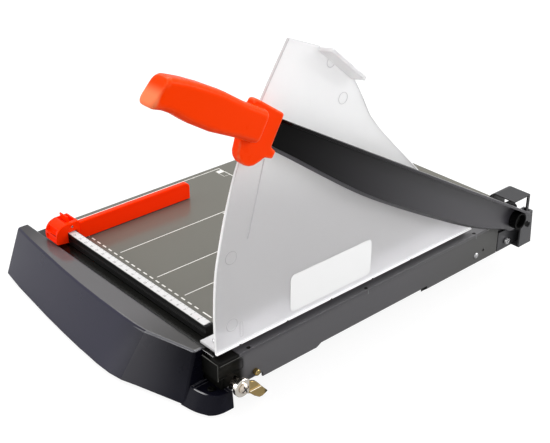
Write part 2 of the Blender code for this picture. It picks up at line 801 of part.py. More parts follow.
def make_end_cap():
    low = -FLOOR_DROP + FOOT_HEIGHT
    rings = [cap_ring(CAP_FOOT_SHARES, low, CAP_FOOT_LEAN), cap_ring(CAP_TOP_SHARES, CAP_TOP, 0)]
    cap = loft("front_end_cap", rings, cap_plastic())
    bevel(cap, CAP_EDGE, 4, 35)
    join(cap, step_body("front_end_cap_step", low))
    cut(cap, step_tray("front_end_cap_tray"))
    screw_head(
        "cap_screw", "Z", (CUT_X - CAP_SCREW_X, CAP_BACK_Y - CAP_SCREW_Y), -STEP_DROP - TRAY_DEPTH + GAP, 1,
        CAP_SCREW_RADIUS, CAP_SCREW_HEIGHT, knife_steel(),
    )


def step_outline(shares, inset=0):
    """The low step at the right end of the cap, from above, shrunk toward its middle by inset."""
    left = CAP_RIGHT_X - STEP_OVERLAP
    back = FRONT_Y + STEP_BACK
    front = [(left + a * STEP_LENGTH, back - b * STEP_DEPTH) for a, b in smooth(shares, 3)]
    half_width = STEP_LENGTH / 2
    half_depth = STEP_DEPTH * TRAY_MIDDLE_SHARE
    middle = (left + half_width, back - half_depth)
    across = 1 - inset / half_width
    along = 1 - inset / half_depth
    outline = front + [(left, back)]
    return [(middle[0] + (a - middle[0]) * across, middle[1] + (b - middle[1]) * along) for a, b in outline]


def step_body(name, low):
    foot = [(a, b, low) for a, b in step_outline(STEP_FOOT_SHARES)]
    top = [(a, b, -STEP_DROP) for a, b in step_outline(STEP_TOP_SHARES)]
    return loft(name, [foot, top])


def step_tray(name):
    """The hollow in the step's top, with a rim left standing on all its sides."""
    left = CAP_RIGHT_X + STEP_RIM
    inside = [(a, b) for a, b in step_outline(STEP_TOP_SHARES, STEP_RIM) if a > left + STEP_RIM]
    outline = [(left, inside[0][1])] + inside + [(left, inside[-1][1])]
    return prism(name, outline, "Z", -STEP_DROP - TRAY_DEPTH, -STEP_DROP + OVERRUN)


def make_fence():
    front = FENCE_Y
    back = front + FENCE_DEPTH
    groove = front + FENCE_GROOVE
    outline = [
        (front, GAP), (back, GAP), (back, FENCE_HEIGHT), (front, FENCE_HEIGHT), (front, FENCE_GROOVE_TOP),
        (groove, FENCE_GROOVE_TOP), (groove, FENCE_GROOVE_BOTTOM), (front, FENCE_GROOVE_BOTTOM),
    ]
    bevel(prism("fence_bar", outline, "X", FENCE_LEFT_X, FENCE_RIGHT_X, fence_black()), EDGE / 2)
    low = FENCE_HEIGHT + GAP
    scale_front = front + SCALE_FRONT_INSET
    box(
        "fence_scale", (FENCE_LEFT_X + SCALE_END_INSET, scale_front, low),
        (FENCE_RIGHT_X - SCALE_END_INSET, scale_front + SCALE_WIDTH, low + SCALE_THICKNESS), strip_white(),
    )


def make_backstop():
    left = STOP_LEFT_X
    right = STOP_RIGHT_X
    curve = smooth(STOP_CURVE_SHARES, 4) + list(STOP_BACK_SHARES)
    outline = [(STOP_Y + a * STOP_LENGTH, b * STOP_HEIGHT) for a, b in curve]
    block = prism("backstop_block", outline, "X", left, right, stop_red())
    bevel(block, STOP_EDGE, 2, 40)
    roof = FENCE_HEIGHT + GAP + SCALE_THICKNESS + STOP_CLEARANCE
    cut(block, box(
        "backstop_tunnel", (left - OVERRUN, FENCE_Y - STOP_CLEARANCE, -OVERRUN),
        (right + OVERRUN, FENCE_Y + FENCE_DEPTH + STOP_CLEARANCE, roof),
    ))
    for k, depth in enumerate(WINDOW_DEPTHS):
        low = WINDOW_BOTTOM + k * (WINDOW_HEIGHT + WINDOW_BAR)
        cut(block, box(
            f"backstop_window_{k}", (left + WINDOW_MARGIN, STOP_Y - OVERRUN, low),
            (right - WINDOW_MARGIN, STOP_Y + depth, low + WINDOW_HEIGHT),
        ))
    slot_left = left + CLAMP_OFFSET - STOP_CLEARANCE
    cut(block, box(
        "backstop_slot", (slot_left, CLAMP_Y - CLAMP_SLOT_FRONT, STOP_HEIGHT - CLAMP_SLOT_DEPTH),
        (slot_left + CLAMP_WIDTH + 2 * STOP_CLEARANCE, CLAMP_Y + CLAMP_SLOT_BACK, STOP_HEIGHT + OVERRUN),
    ))
    centre = (CLAMP_Y, CLAMP_Z)
    drill(block, "backstop_bore", "X", centre, CLAMP_PIN_RADIUS + GAP, left + GAP, right + OVERRUN, 24)
    pin = rod("clamp_pin", "X", centre, CLAMP_PIN_RADIUS, left + 2 * GAP, right - GAP, bright_steel(), 24)
    set_origin(pin, CLAMP)


def make_clamp():
    """The tab that tips about its pin in the backstop's top."""
    start = STOP_LEFT_X + CLAMP_OFFSET
    end = start + CLAMP_WIDTH
    hub = rod("clamp_lever", "X", (CLAMP_Y, CLAMP_Z), CLAMP_RADIUS, start, end, stop_red(), 32)
    half = CLAMP_TAB_THICKNESS / 2
    tip = half * CLAMP_TAB_TIP_SHARE
    root = CLAMP_RADIUS / 2
    sides = ((root, -half), (CLAMP_TAB_REACH, -tip), (CLAMP_TAB_REACH, tip), (root, half))
    cosine = math.cos(CLAMP_TAB_ANGLE)
    sine = math.sin(CLAMP_TAB_ANGLE)
    outline = [(CLAMP_Y + a * cosine - b * sine, CLAMP_Z + a * sine + b * cosine) for a, b in sides]
    tab = prism("clamp_lever_tab", outline, "X", start, end)
    join(hub, tab)
    bore_radius = CLAMP_PIN_RADIUS + RUNNING
    centre = (CLAMP_Y, CLAMP_Z)
    bore = drill(hub, "clamp_lever_bore", "X", centre, bore_radius, start - OVERRUN, end + OVERRUN, 24)
    for piece in (hub, tab, bore):
        set_origin(piece, CLAMP)


def make_bar():
    right = STOP_RIGHT_X - BAR_INSET
    front = STOP_Y + STOP_LENGTH + GAP
    back = front + BAR_LENGTH
    corner = quarter((back - BAR_CORNER, BAR_HEIGHT - BAR_CORNER), BAR_CORNER, 0, 6)
    outline = [(front, BAR_LIFT), (back, BAR_LIFT)] + corner + [(front, BAR_HEIGHT)]
    bar = prism("backstop_bar", outline, "X", right - BAR_THICKNESS, right, stop_red())
    bevel(bar, STOP_EDGE, 2, 40)


def guard_outline():
    shares = smooth(GUARD_FRONT_SHARES, 4) + smooth(GUARD_REAR_SHARES, 2)
    return [(GUARD_Y + a * GUARD_LENGTH, b * GUARD_HEIGHT) for a, b in shares]


def make_guard():
    plate = prism("guard_plate", guard_outline(), "X", GUARD_X - GUARD_THICKNESS, GUARD_X, guard_clear())
    bevel(plate, GUARD_EDGE, 2, 50)
    label = rounded(
        (GUARD_Y + LABEL_BACK, LABEL_BOTTOM),
        (GUARD_Y + LABEL_BACK + LABEL_LENGTH, LABEL_BOTTOM + LABEL_HEIGHT), LABEL_CORNER,
    )
    prism("guard_label", label, "X", GUARD_X + GAP, GUARD_X + GAP + LABEL_THICKNESS, strip_white())
    make_guard_lip()
    make_guard_foot()


def make_guard_lip():
    """The lip that stands out over the arm from the guard's sloping rear edge."""
    front, rear = (
        (GUARD_Y + a * GUARD_LENGTH, b * GUARD_HEIGHT - GUARD_EDGE) for a, b in GUARD_REAR_SHARES[:2]
    )
    lean = GUARD_THICKNESS * LIP_LEAN_SHARE
    rings = [
        [
            (x, front[0], front[1] + rise), (x, rear[0], rear[1] + rise),
            (x, rear[0] - lean, rear[1] + rise - GUARD_THICKNESS),
            (x, front[0] - lean, front[1] + rise - GUARD_THICKNESS),
        ]
        for x, rise in ((GUARD_X + GAP, 0), (GUARD_X + GAP + LIP_REACH, LIP_RISE))
    ]
    bevel(loft("guard_lip", rings, guard_clear()), GUARD_EDGE, 2, 50)


def make_guard_foot():
    """The foot plate that holds the guard over the table, on two spacers, with room for the sheet below."""
    right = GUARD_X - GUARD_THICKNESS - GAP
    front = GUARD_Y + FOOT_PLATE_BACK
    rear = GUARD_Y + GUARD_LENGTH - FOOT_PLATE_END_INSET
    top = FOOT_PLATE_LIFT + FOOT_PLATE_THICKNESS
    low = (right - FOOT_PLATE_WIDTH, front, FOOT_PLATE_LIFT)
    bevel(box("guard_foot", low, (right, rear, top), guard_clear()), GUARD_EDGE, 2, 50)
    for k, y in enumerate((front + GUARD_SCREW_INSET, rear - GUARD_SCREW_INSET)):
        centre = (right - GUARD_SCREW_X, y)
        seat = FOOT_PLATE_LIFT - GAP
        rod(f"guard_spacer_{k + 1}", "Z", centre, SPACER_RADIUS, GAP, seat, guard_clear(), 32)
        name = f"guard_screw_{k + 1}"
        screw_head(name, "Z", centre, top + GAP, 1, HEAD_RADIUS, GUARD_SCREW_HEIGHT, bright_steel())


def belly(shift):
    """The curved lower edge of the arm, moved up by shift, from the tip to the heel."""
    return [(a * ARM_LENGTH, shift - b * ARM_DEPTH) for a, b in smooth(BELLY_SHARES, 2)]


def make_arm():
    turns = [t * math.pi / 12 for t in range(19, 11, -1)]
    eye = [(ARM_EYE * math.cos(t), ARM_EYE * math.sin(t)) for t in turns]
    tang_end = ARM_LENGTH + TANG_LENGTH
    outline = [
        (-ARM_REAR, ARM_TOP), (ARM_LENGTH, ARM_TOP), (ARM_LENGTH, TANG_HALF), (tang_end, TANG_HALF),
        (tang_end, -TANG_HALF), (ARM_LENGTH, -TANG_HALF),
    ]
    outline += belly(BLADE_SHOW) + eye
    arm = arm_prism("blade_arm", outline, WEB_OUT, WEB_OUT + WEB_THICKNESS, arm_black())
    flange = [
        (-ARM_REAR, ARM_TOP), (ARM_LENGTH, ARM_TOP), (ARM_LENGTH, ARM_TOP - FLANGE_THICKNESS),
        (-ARM_REAR, ARM_TOP - FLANGE_THICKNESS),
    ]
    top = arm_prism("blade_arm_flange", flange, WEB_OUT + WEB_THICKNESS / 2, WEB_OUT + FLANGE_REACH)
    join(arm, top)
    centre = (PIVOT_Y, PIVOT_UP)
    bore_end = CUT_X + WEB_OUT + OVERRUN
    bore = drill(arm, "blade_arm_bore", "X", centre, BOLT_RADIUS + RUNNING, CUT_X - OVERRUN, bore_end, 40)
    cutters = [top, bore]
    for k, share in enumerate(BLADE_SCREW_SHARES):
        centre = arm_point(share * ARM_LENGTH, -BLADE_SCREW_DROP)
        start = CUT_X + WEB_OUT - GAP
        end = CUT_X + WEB_OUT + WEB_THICKNESS / 2
        cutters.append(drill(arm, f"blade_arm_hole_{k}", "X", centre, SHANK_RADIUS + GAP, start, end, 24))
    for piece in [arm] + cutters:
        set_origin(piece, PIVOT)


def make_blade():
    edge = belly(0)
    top = BLADE_TOP
    inner = CUT_X + GAP
    outer = inner + BLADE_THICKNESS
    rings = []
    for along, low in edge:
        along = min(along, ARM_LENGTH - BLADE_TIP_BACK)
        section = ((inner, top), (outer, top), (outer, low + BLADE_BEVEL), (inner, low))
        rings.append([(x,) + arm_point(along, up) for x, up in section])
    blade = loft("blade", rings, knife_steel())
    cutters = []
    for k, share in enumerate(BLADE_SCREW_SHARES):
        centre = arm_point(share * ARM_LENGTH, -BLADE_SCREW_DROP)
        seat = inner + HEAD_HEIGHT + GAP
        sink_radius = BLADE_SCREW_RADIUS + GAP
        cutters += [
            drill(blade, f"blade_sink_{k}", "X", centre, sink_radius, inner - OVERRUN, seat, 32),
            drill(blade, f"blade_hole_{k}", "X", centre, SHANK_RADIUS + GAP, inner, outer + OVERRUN, 24),
        ]
        steps = (
            (inner + GAP, 0), (inner + GAP, BLADE_SCREW_RADIUS), (inner + HEAD_HEIGHT, BLADE_SCREW_RADIUS),
            (inner + HEAD_HEIGHT, SHANK_RADIUS), (outer + WEB_THICKNESS / 2, SHANK_RADIUS),
            (outer + WEB_THICKNESS / 2, 0),
        )
        screw = stack(f"blade_screw_{k + 1}", "X", centre, steps, bright_steel(), 28)
        set_origin(screw, PIVOT)
    for piece in [blade] + cutters:
        set_origin(piece, PIVOT)


def grip_ring(top, bottom, shrink):
    """A rounded section of the grip, on the line from top to bottom, drawn in by a share of its round."""
    inset = GRIP_ROUND * shrink
    places = [(GRIP_START + a * GRIP_LENGTH, b * GRIP_DEPTH) for a, b in (top, bottom)]
    height = places[0][1] - places[1][1]
    section = rounded((-GRIP_IN + inset, inset), (GRIP_OUT - inset, height - inset), GRIP_ROUND, 4)
    ring = []
    for x, up in section:
        share = up / height
        along = places[1][0] + (places[0][0] - places[1][0]) * share
        ring.append((CUT_X + x,) + arm_point(along, places[1][1] + up))
    return ring


def make_handle():
    """The moulded grip on the arm's tang, with a shield before the fingers that caps the arm's end."""
    grip = loft("handle", [grip_ring(*station) for station in GRIP_SHARES], handle_orange())
    outline = [(SHIELD_START + a * SHIELD_LENGTH, b * SHIELD_DEPTH) for a, b in SHIELD_SHARES]
    shield = arm_prism("handle_shield", outline, SHIELD_IN, SHIELD_OUT)
    bevel(shield, SHIELD_EDGE, 3, 40)
    join(grip, shield)
    end = ARM_LENGTH + TANG_LENGTH + GAP
    half = TANG_HALF + GAP
    pocket = [(ARM_LENGTH - OVERRUN, half), (end, half), (end, -half), (ARM_LENGTH - OVERRUN, -half)]
    slot = arm_prism("handle_pocket", pocket, WEB_OUT - GAP, WEB_OUT + WEB_THICKNESS + GAP)
    cut(grip, slot)
    cutters = [shield, slot]
    face = CUT_X - GRIP_IN
    for k, inset in enumerate(HANDLE_SCREW_INSETS):
        centre = arm_point(ARM_LENGTH + TANG_LENGTH - inset, 0)
        name = f"handle_screw_{k + 1}"
        radius = HANDLE_SCREW_RADIUS
        seat = face + HANDLE_SCREW_SINK
        sink = drill(grip, f"handle_sink_{k}", "X", centre, radius + GAP, face - OVERRUN, seat, 32)
        screw = screw_head(name, "X", centre, seat - GAP, -1, radius, HANDLE_SCREW_HEIGHT, bright_steel())
        slots = [bpy.data.objects[f"{name}_slot_{j}"] for j in range(2)]
        cutters += [sink, screw] + slots
    for piece in [grip] + cutters:
        set_origin(piece, PIVOT)


def make_pivot():
    centre = (PIVOT_Y, PIVOT_UP)
    plate_right = CUT_X - RAIL_INSET - STEEL - GAP
    plate_left = plate_right - PLATE_THICKNESS
    front = PIVOT_Y - PLATE_AHEAD
    rear = PIVOT_Y + PLATE_BEHIND
    half = PLATE_TOP / 2
    outline = [
        (front, -PLATE_BOTTOM), (rear, -PLATE_BOTTOM), (rear, half), (rear - half, PLATE_TOP),
        (front + PLATE_TOP, PLATE_TOP), (front, -KNIFE_HEIGHT),
    ]
    plate = prism("pivot_plate", outline, "X", plate_left, plate_right, bracket_paint())
    bore = BOLT_RADIUS + GAP
    drill(plate, "pivot_plate_bore", "X", centre, bore, plate_left - OVERRUN, plate_right + OVERRUN, 40)
    head = CUT_X + WEB_OUT + WEB_THICKNESS + GAP
    nut_start = plate_left - GAP
    nut_end = nut_start - NUT_HEIGHT
    top = head + BOLT_HEAD_HEIGHT
    radius = BOLT_HEAD_RADIUS
    steps = (
        (nut_end - SHEET, 0), (nut_end - SHEET, BOLT_RADIUS), (head + GAP, BOLT_RADIUS), (head + GAP, radius),
        (top - EDGE, radius), (top, radius * HEAD_RIM_SHARE), (top, 0),
    )
    stack("pivot_bolt", "X", centre, steps, arm_black(), 40)
    nut = rod("pivot_nut", "X", centre, NUT_RADIUS, nut_end, nut_start, bright_steel(), 6)
    drill(nut, "pivot_nut_bore", "X", centre, bore, nut_end - OVERRUN, nut_start + OVERRUN, 40)
    bush_end = CUT_X + WEB_OUT - GAP
    bush = rod("pivot_bush", "X", centre, BUSH_RADIUS, plate_right + GAP, bush_end, bright_steel(), 40)
    drill(bush, "pivot_bush_bore", "X", centre, bore, plate_right - OVERRUN, bush_end + OVERRUN, 40)
    dish = rod("pivot_dish", "X", centre, DISH_RADIUS, head, head + DISH_DEPTH, arm_black(), 48)
    well_radius = DISH_RADIUS - DISH_WALL
    well = drill(dish, "pivot_dish_well", "X", centre, well_radius, head - OVERRUN, head + OVERRUN, 48)
    for piece in (dish, well):
        set_origin(piece, PIVOT)


def make_bracket():
    """The sheet bracket behind the pivot: a tongue in line with the rail, a shoulder, and a shallow box."""
    inner_right = CUT_X - RAIL_INSET
    inner_left = inner_right - STEEL
    front = PIVOT_Y - RAIL_REAR_INSET + BRACKET_CLEARANCE
    shoulder = PIVOT_Y + BRACKET_SHOULDER
    rear = PIVOT_Y + BRACKET_REAR
    rings = []
    for z, end in ((-BRACKET_BOTTOM, rear), (BRACKET_TOP, rear - BRACKET_TAPER)):
        back = end - STEEL
        outline = (
            (inner_left, front), (inner_right, front), (inner_right, back), (BRACKET_X - STEEL, back),
            (BRACKET_X - STEEL, shoulder), (BRACKET_X, shoulder), (BRACKET_X, end), (inner_left, end),
        )
        rings.append([(x, y, z) for x, y in outline])
    bracket = loft("pivot_bracket", rings, bracket_paint())
    floor = box(
        "pivot_bracket_floor", (inner_left + STEEL / 2, shoulder, -BRACKET_BOTTOM),
        (BRACKET_X - STEEL / 2, rear - STEEL / 2, -BRACKET_BOTTOM + STEEL),
    )
    join(bracket, floor)
    step = box(
        "pivot_bracket_step", (inner_left - OVERRUN, front - OVERRUN, -BRACKET_LOW_TOP),
        (inner_right + STEEL, shoulder, BRACKET_TOP + OVERRUN),
    )
    cut(bracket, step)
    centre = (PIVOT_Y + BRACKET_HOLE_BACK, -BRACKET_HOLE_DROP)
    start = BRACKET_X - 2 * STEEL
    drill(bracket, "pivot_bracket_hole", "X", centre, BRACKET_HOLE_RADIUS, start, BRACKET_X + OVERRUN, 32)
    screw_head(
        "bracket_bolt", "X", (PIVOT_Y, -BRACKET_BOLT_DROP), inner_right + GAP, 1, BRACKET_BOLT_RADIUS,
        BRACKET_BOLT_HEIGHT, bracket_paint(),
    )


def hoop_profile():
    """The hoop seen along the cut: a foot on the table, a leg, a wide bend and a flat top."""
    left = CUT_X - HOOP_LEFT
    centre = (left + HOOP_BEND, HOOP_TOP - HOOP_BEND)
    outer = quarter(centre, HOOP_BEND, 1, 8)
    inner = quarter(centre, HOOP_BEND - HOOP_SHEET, 1, 8)[::-1]
    foot = [
        (left, GAP + HOOP_SHEET), (left - HOOP_FOOT, GAP + HOOP_SHEET), (left - HOOP_FOOT, GAP),
        (left + HOOP_SHEET, GAP),
    ]
    return [(BRACKET_X, HOOP_TOP)] + outer + foot + inner + [(BRACKET_X, HOOP_TOP - HOOP_SHEET)]


def make_hoop():
    rear = PIVOT_Y + HOOP_REAR
    hoop = prism("pivot_hoop", hoop_profile(), "Y", PIVOT_Y - HOOP_FRONT, rear, bracket_paint())
    leg = box(
        "pivot_hoop_leg", (BRACKET_X - HOOP_SHEET, rear - HOOP_LEG, BRACKET_TOP + GAP),
        (BRACKET_X, rear, HOOP_TOP - HOOP_SHEET / 2),
    )
    join(hoop, leg)


def make_lock():
    face = CUT_X - RAIL_INSET
    centre = (LOCK_Y, -LOCK_DROP)
    bush_end = face + GAP + LOCK_BUSH_LENGTH
    seat = face - STEEL
    bush = rod("lock_bush", "X", centre, LOCK_BUSH_RADIUS, seat, bush_end, bright_steel(), 36)
    drill(bush, "lock_bush_bore", "X", centre, LOCK_BORE + GAP, seat - OVERRUN, bush_end + OVERRUN)
    start = bush_end + GAP
    end = start + LOCK_BOSS_HEIGHT
    steps = (
        (start, 0), (start, LOCK_BOSS_RADIUS), (end - EDGE, LOCK_BOSS_RADIUS), (end, LOCK_BOSS_RADIUS - EDGE),
        (end, 0),
    )
    lever = stack("lock_lever", "X", centre, steps, brass(), 48)
    wing_outline = [
        (centre[0] + a * LOCK_WING_LENGTH, centre[1] + b * LOCK_WING_DEPTH) for a, b in LOCK_WING_SHARES
    ]
    wing_start = start + EDGE
    wing = prism("lock_lever_wing", wing_outline, "X", wing_start, wing_start + LOCK_WING_THICKNESS)
    bevel(wing, EDGE, 2, 40)
    join(lever, wing)
    bore_radius = LOCK_BORE + RUNNING
    bore = drill(lever, "lock_lever_bore", "X", centre, bore_radius, start - OVERRUN, end + OVERRUN, 32)
    for piece in (lever, wing, bore):
        set_origin(piece, LOCK)
    head = end + GAP
    top = head + LOCK_HEAD_HEIGHT
    tail = face - 2 * STEEL
    radius = LOCK_HEAD_RADIUS
    steps = (
        (tail, 0), (tail, LOCK_BORE), (head, LOCK_BORE), (head, radius), (top - LOCK_HEAD_HEIGHT / 2, radius),
        (top, radius * LOCK_HEAD_TOP_SHARE), (top, 0),
    )
    stack("lock_screw", "X", centre, steps, bright_steel(), 40)


def stand_on_origin():
    """Moves everything so that the origin is the bottom middle of the whole machine's box."""
    bpy.context.view_layer.update()
    graph = bpy.context.evaluated_depsgraph_get()
    corners = []
    for obj in bpy.data.objects:
        if not obj.hide_render:
            shown = obj.evaluated_get(graph)
            corners += [shown.matrix_world @ Vector(corner) for corner in shown.bound_box]
    low = Vector([min(corner[k] for corner in corners) for k in range(3)])
    high = Vector([max(corner[k] for corner in corners) for k in range(3)])
    middle = (low + high) / 2
    middle.z = low.z
    for obj in bpy.data.objects:
        obj.location -= middle


def main():
    clear_scene()
    make_table()
    make_feet(make_rear_blocks())
    make_side_rail()
    make_front_rail()
    make_rivet_and_stud()
    make_knife()
    make_end_cap()
    make_fence()
    make_backstop()
    make_clamp()
    make_bar()
    make_guard()
    make_arm()
    make_blade()
    make_handle()
    make_pivot()
    make_bracket()
    make_hoop()
    make_lock()
    stand_on_origin()


main()
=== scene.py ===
import json
import math

import bmesh
import bpy
from mathutils import Matrix, Vector

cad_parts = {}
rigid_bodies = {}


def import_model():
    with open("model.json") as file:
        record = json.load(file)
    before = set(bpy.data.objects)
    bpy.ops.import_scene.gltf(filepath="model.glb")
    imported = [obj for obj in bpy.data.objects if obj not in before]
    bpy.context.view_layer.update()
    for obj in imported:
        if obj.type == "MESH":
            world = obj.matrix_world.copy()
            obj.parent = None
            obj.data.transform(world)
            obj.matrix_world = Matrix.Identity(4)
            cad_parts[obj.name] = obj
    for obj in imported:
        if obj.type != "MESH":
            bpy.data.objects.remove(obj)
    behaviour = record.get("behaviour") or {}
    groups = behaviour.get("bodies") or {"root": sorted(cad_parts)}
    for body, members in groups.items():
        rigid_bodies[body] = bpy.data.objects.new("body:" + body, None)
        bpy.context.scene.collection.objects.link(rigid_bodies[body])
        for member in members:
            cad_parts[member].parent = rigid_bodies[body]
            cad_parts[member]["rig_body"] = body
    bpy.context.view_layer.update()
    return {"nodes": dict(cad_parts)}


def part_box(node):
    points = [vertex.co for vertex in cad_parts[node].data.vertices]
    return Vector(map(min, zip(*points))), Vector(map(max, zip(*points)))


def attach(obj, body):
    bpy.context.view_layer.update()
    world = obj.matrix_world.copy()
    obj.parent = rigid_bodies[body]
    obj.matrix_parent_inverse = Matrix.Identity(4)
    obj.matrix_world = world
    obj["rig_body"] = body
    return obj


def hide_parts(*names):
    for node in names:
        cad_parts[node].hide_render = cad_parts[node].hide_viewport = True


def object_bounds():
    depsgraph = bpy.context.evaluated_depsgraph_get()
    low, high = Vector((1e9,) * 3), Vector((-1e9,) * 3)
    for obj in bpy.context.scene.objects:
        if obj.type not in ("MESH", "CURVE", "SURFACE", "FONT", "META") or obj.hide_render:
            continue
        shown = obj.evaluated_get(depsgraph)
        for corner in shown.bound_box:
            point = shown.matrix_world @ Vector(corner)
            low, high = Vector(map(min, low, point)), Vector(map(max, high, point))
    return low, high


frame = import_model()
nodes = frame["nodes"]

# Places that the whole machine is laid out from

layout = {"fenceInset": 0.0045, "gripLean": 27, "mergeDistance": 1e-6}

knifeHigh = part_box("bed_knife")[1]
cutX = knifeHigh.x                                              # plane of the cut
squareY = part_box("fence_bar")[0].y - layout["fenceInset"]       # line that the sheets are squared to
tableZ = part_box("table_top")[1].z                               # level that the sheets lie on
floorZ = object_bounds()[0].z
gripLean = math.radians(layout["gripLean"])
gripAxis = Vector((0, -math.cos(gripLean), math.sin(gripLean)))
gripTip = max(vert.co @ gripAxis for vert in nodes["handle"].data.vertices)
capLow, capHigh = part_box("front_end_cap")
guardLow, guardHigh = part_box("guard_plate")
lockLow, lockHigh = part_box("lock_screw")
lockMiddle = (lockLow + lockHigh) / 2


# Shared shader groups

def startGroup(name, wanted, given):
    group = bpy.data.node_groups.new(name, "ShaderNodeTree")
    for label, kind, value in wanted:
        socket = group.interface.new_socket(name=label, in_out="INPUT", socket_type=kind)
        if value is not None:
            socket.default_value = value
    for label, kind in given:
        group.interface.new_socket(name=label, in_out="OUTPUT", socket_type=kind)
    entry = group.nodes.new("NodeGroupInput")
    leave = group.nodes.new("NodeGroupOutput")
    return group, entry, leave


def setInput(tree, socket, item):
    if isinstance(item, (int, float, tuple)):
        socket.default_value = item
    else:
        tree.links.new(item, socket)


def addNoise(tree, vector, scale, detail, roughness=0.5):
    noise = tree.nodes.new("ShaderNodeTexNoise")
    noise.inputs["Detail"].default_value = detail
    noise.inputs["Roughness"].default_value = roughness
    tree.links.new(vector, noise.inputs["Vector"])
    setInput(tree, noise.inputs["Scale"], scale)
    return noise.outputs["Fac"]


def addMath(tree, kind, first, second, clamp=False):
    node = tree.nodes.new("ShaderNodeMath")
    node.operation = kind
    node.use_clamp = clamp
    setInput(tree, node.inputs[0], first)
    setInput(tree, node.inputs[1], second)
    return node.outputs[0]


def addMapRange(tree, value, low, high, toLow, toHigh, smooth=False):
    node = tree.nodes.new("ShaderNodeMapRange")
    node.interpolation_type = "SMOOTHSTEP" if smooth else "LINEAR"
    for label, item in (("From Min", low), ("From Max", high), ("To Min", toLow), ("To Max", toHigh)):
        setInput(tree, node.inputs[label], item)
    tree.links.new(value, node.inputs["Value"])
    return node.outputs["Result"]


def addMix(tree, factor, first, second):
    node = tree.nodes.new("ShaderNodeMix")
    node.data_type = "RGBA"
    for socket, item in ((node.inputs[0], factor), (node.inputs[6], first), (node.inputs[7], second)):
        setInput(tree, socket, item)
    return node.outputs[2]


grainLook = {
    "fineDetail": 3.0, "fineRoughness": 0.6, "fineShare": 0.7, "wideScale": 0.12, "wideDetail": 2.0,
    "wideShare": 0.3,
}


def makeGrainGroup(look):
    group, entry, leave = startGroup(
        "mouldedGrain",
        (("Vector", "NodeSocketVector", None), ("Scale", "NodeSocketFloat", 900.0)),
        (("Height", "NodeSocketFloat"),),
    )
    where, scale = entry.outputs["Vector"], entry.outputs["Scale"]
    fine = addNoise(group, where, scale, look["fineDetail"], look["fineRoughness"])
    wide = addNoise(group, where, addMath(group, "MULTIPLY", scale, look["wideScale"]), look["wideDetail"])
    finePart = addMath(group, "MULTIPLY", fine, look["fineShare"])
    widePart = addMath(group, "MULTIPLY", wide, look["wideShare"])
    group.links.new(addMath(group, "ADD", finePart, widePart), leave.inputs["Height"])
    return group


mottleLook = {"detail": 4.0, "from": 0.35, "to": 0.7}


def makeMottleGroup(look):
    group, entry, leave = startGroup(
        "paintMottle",
        (("Vector", "NodeSocketVector", None), ("Colour", "NodeSocketColor", None),
         ("Other", "NodeSocketColor", None), ("Scale", "NodeSocketFloat", 12.0),
         ("Amount", "NodeSocketFloat", 0.5)),
        (("Colour", "NodeSocketColor"),),
    )
    spread = addNoise(group, entry.outputs["Vector"], entry.outputs["Scale"], look["detail"])
    mask = addMapRange(group, spread, look["from"], look["to"], 0.0, entry.outputs["Amount"])
    mixed = addMix(group, mask, entry.outputs["Colour"], entry.outputs["Other"])
    group.links.new(mixed, leave.inputs["Colour"])
    return group


smudgeLook = {"detail": 5.0, "roughness": 0.6, "middle": 0.5}


def makeSmudgeGroup(look):
    group, entry, leave = startGroup(
        "handledGloss",
        (("Vector", "NodeSocketVector", None), ("Roughness", "NodeSocketFloat", 0.4),
         ("Spread", "NodeSocketFloat", 0.08), ("Scale", "NodeSocketFloat", 25.0)),
        (("Roughness", "NodeSocketFloat"),),
    )
    where, scale = entry.outputs["Vector"], entry.outputs["Scale"]
    film = addNoise(group, where, scale, look["detail"], look["roughness"])
    level = addMath(group, "SUBTRACT", film, look["middle"])
    swing = addMath(group, "MULTIPLY", level, entry.outputs["Spread"])
    group.links.new(addMath(group, "ADD", entry.outputs["Roughness"], swing, True), leave.inputs["Roughness"])
    return group


# Painted highlight along sharp edges: pointy edges are mixed towards a lighter colour, broken up with noise
edgeHighlightLook = {
    "edgeFrom": 0.505, "edgeTo": 0.56, "breakScale": 260.0, "breakDetail": 3.0, "breakFrom": 0.4,
    "breakTo": 0.6, "least": 0.35,
}


def makeEdgeHighlightGroup(look):
    group, entry, leave = startGroup(
        "paintedEdgeHighlight",
        (("Vector", "NodeSocketVector", None), ("Colour", "NodeSocketColor", None),
         ("Highlight", "NodeSocketColor", None), ("Amount", "NodeSocketFloat", 0.3)),
        (("Colour", "NodeSocketColor"),),
    )
    shape = group.nodes.new("ShaderNodeNewGeometry")
    edge = addMapRange(group, shape.outputs["Pointiness"], look["edgeFrom"], look["edgeTo"], 0.0, 1.0)
    patches = addNoise(group, entry.outputs["Vector"], look["breakScale"], look["breakDetail"])
    broken = addMapRange(group, patches, look["breakFrom"], look["breakTo"], look["least"], 1.0)
    litEdge = addMath(group, "MULTIPLY", edge, broken)
    mask = addMath(group, "MULTIPLY", litEdge, entry.outputs["Amount"], True)
    mixed = addMix(group, mask, entry.outputs["Colour"], entry.outputs["Highlight"])
    group.links.new(mixed, leave.inputs["Colour"])
    return group


brushLook = {"stretch": (1400.0, 30.0, 1400.0), "detail": 2.0, "roughness": 0.7}


def makeBrushGroup(look):
    group, entry, leave = startGroup(
        "brushedLines",
        (("Vector", "NodeSocketVector", None), ("Scale", "NodeSocketFloat", 1.0)),
        (("Height", "NodeSocketFloat"),),
    )
    stretch = group.nodes.new("ShaderNodeMapping")
    stretch.inputs["Scale"].default_value = look["stretch"]
    group.links.new(entry.outputs["Vector"], stretch.inputs["Vector"])
    where, scale = stretch.outputs["Vector"], entry.outputs["Scale"]
    lines = addNoise(group, where, scale, look["detail"], look["roughness"])
    group.links.new(lines, leave.inputs["Height"])
    return group


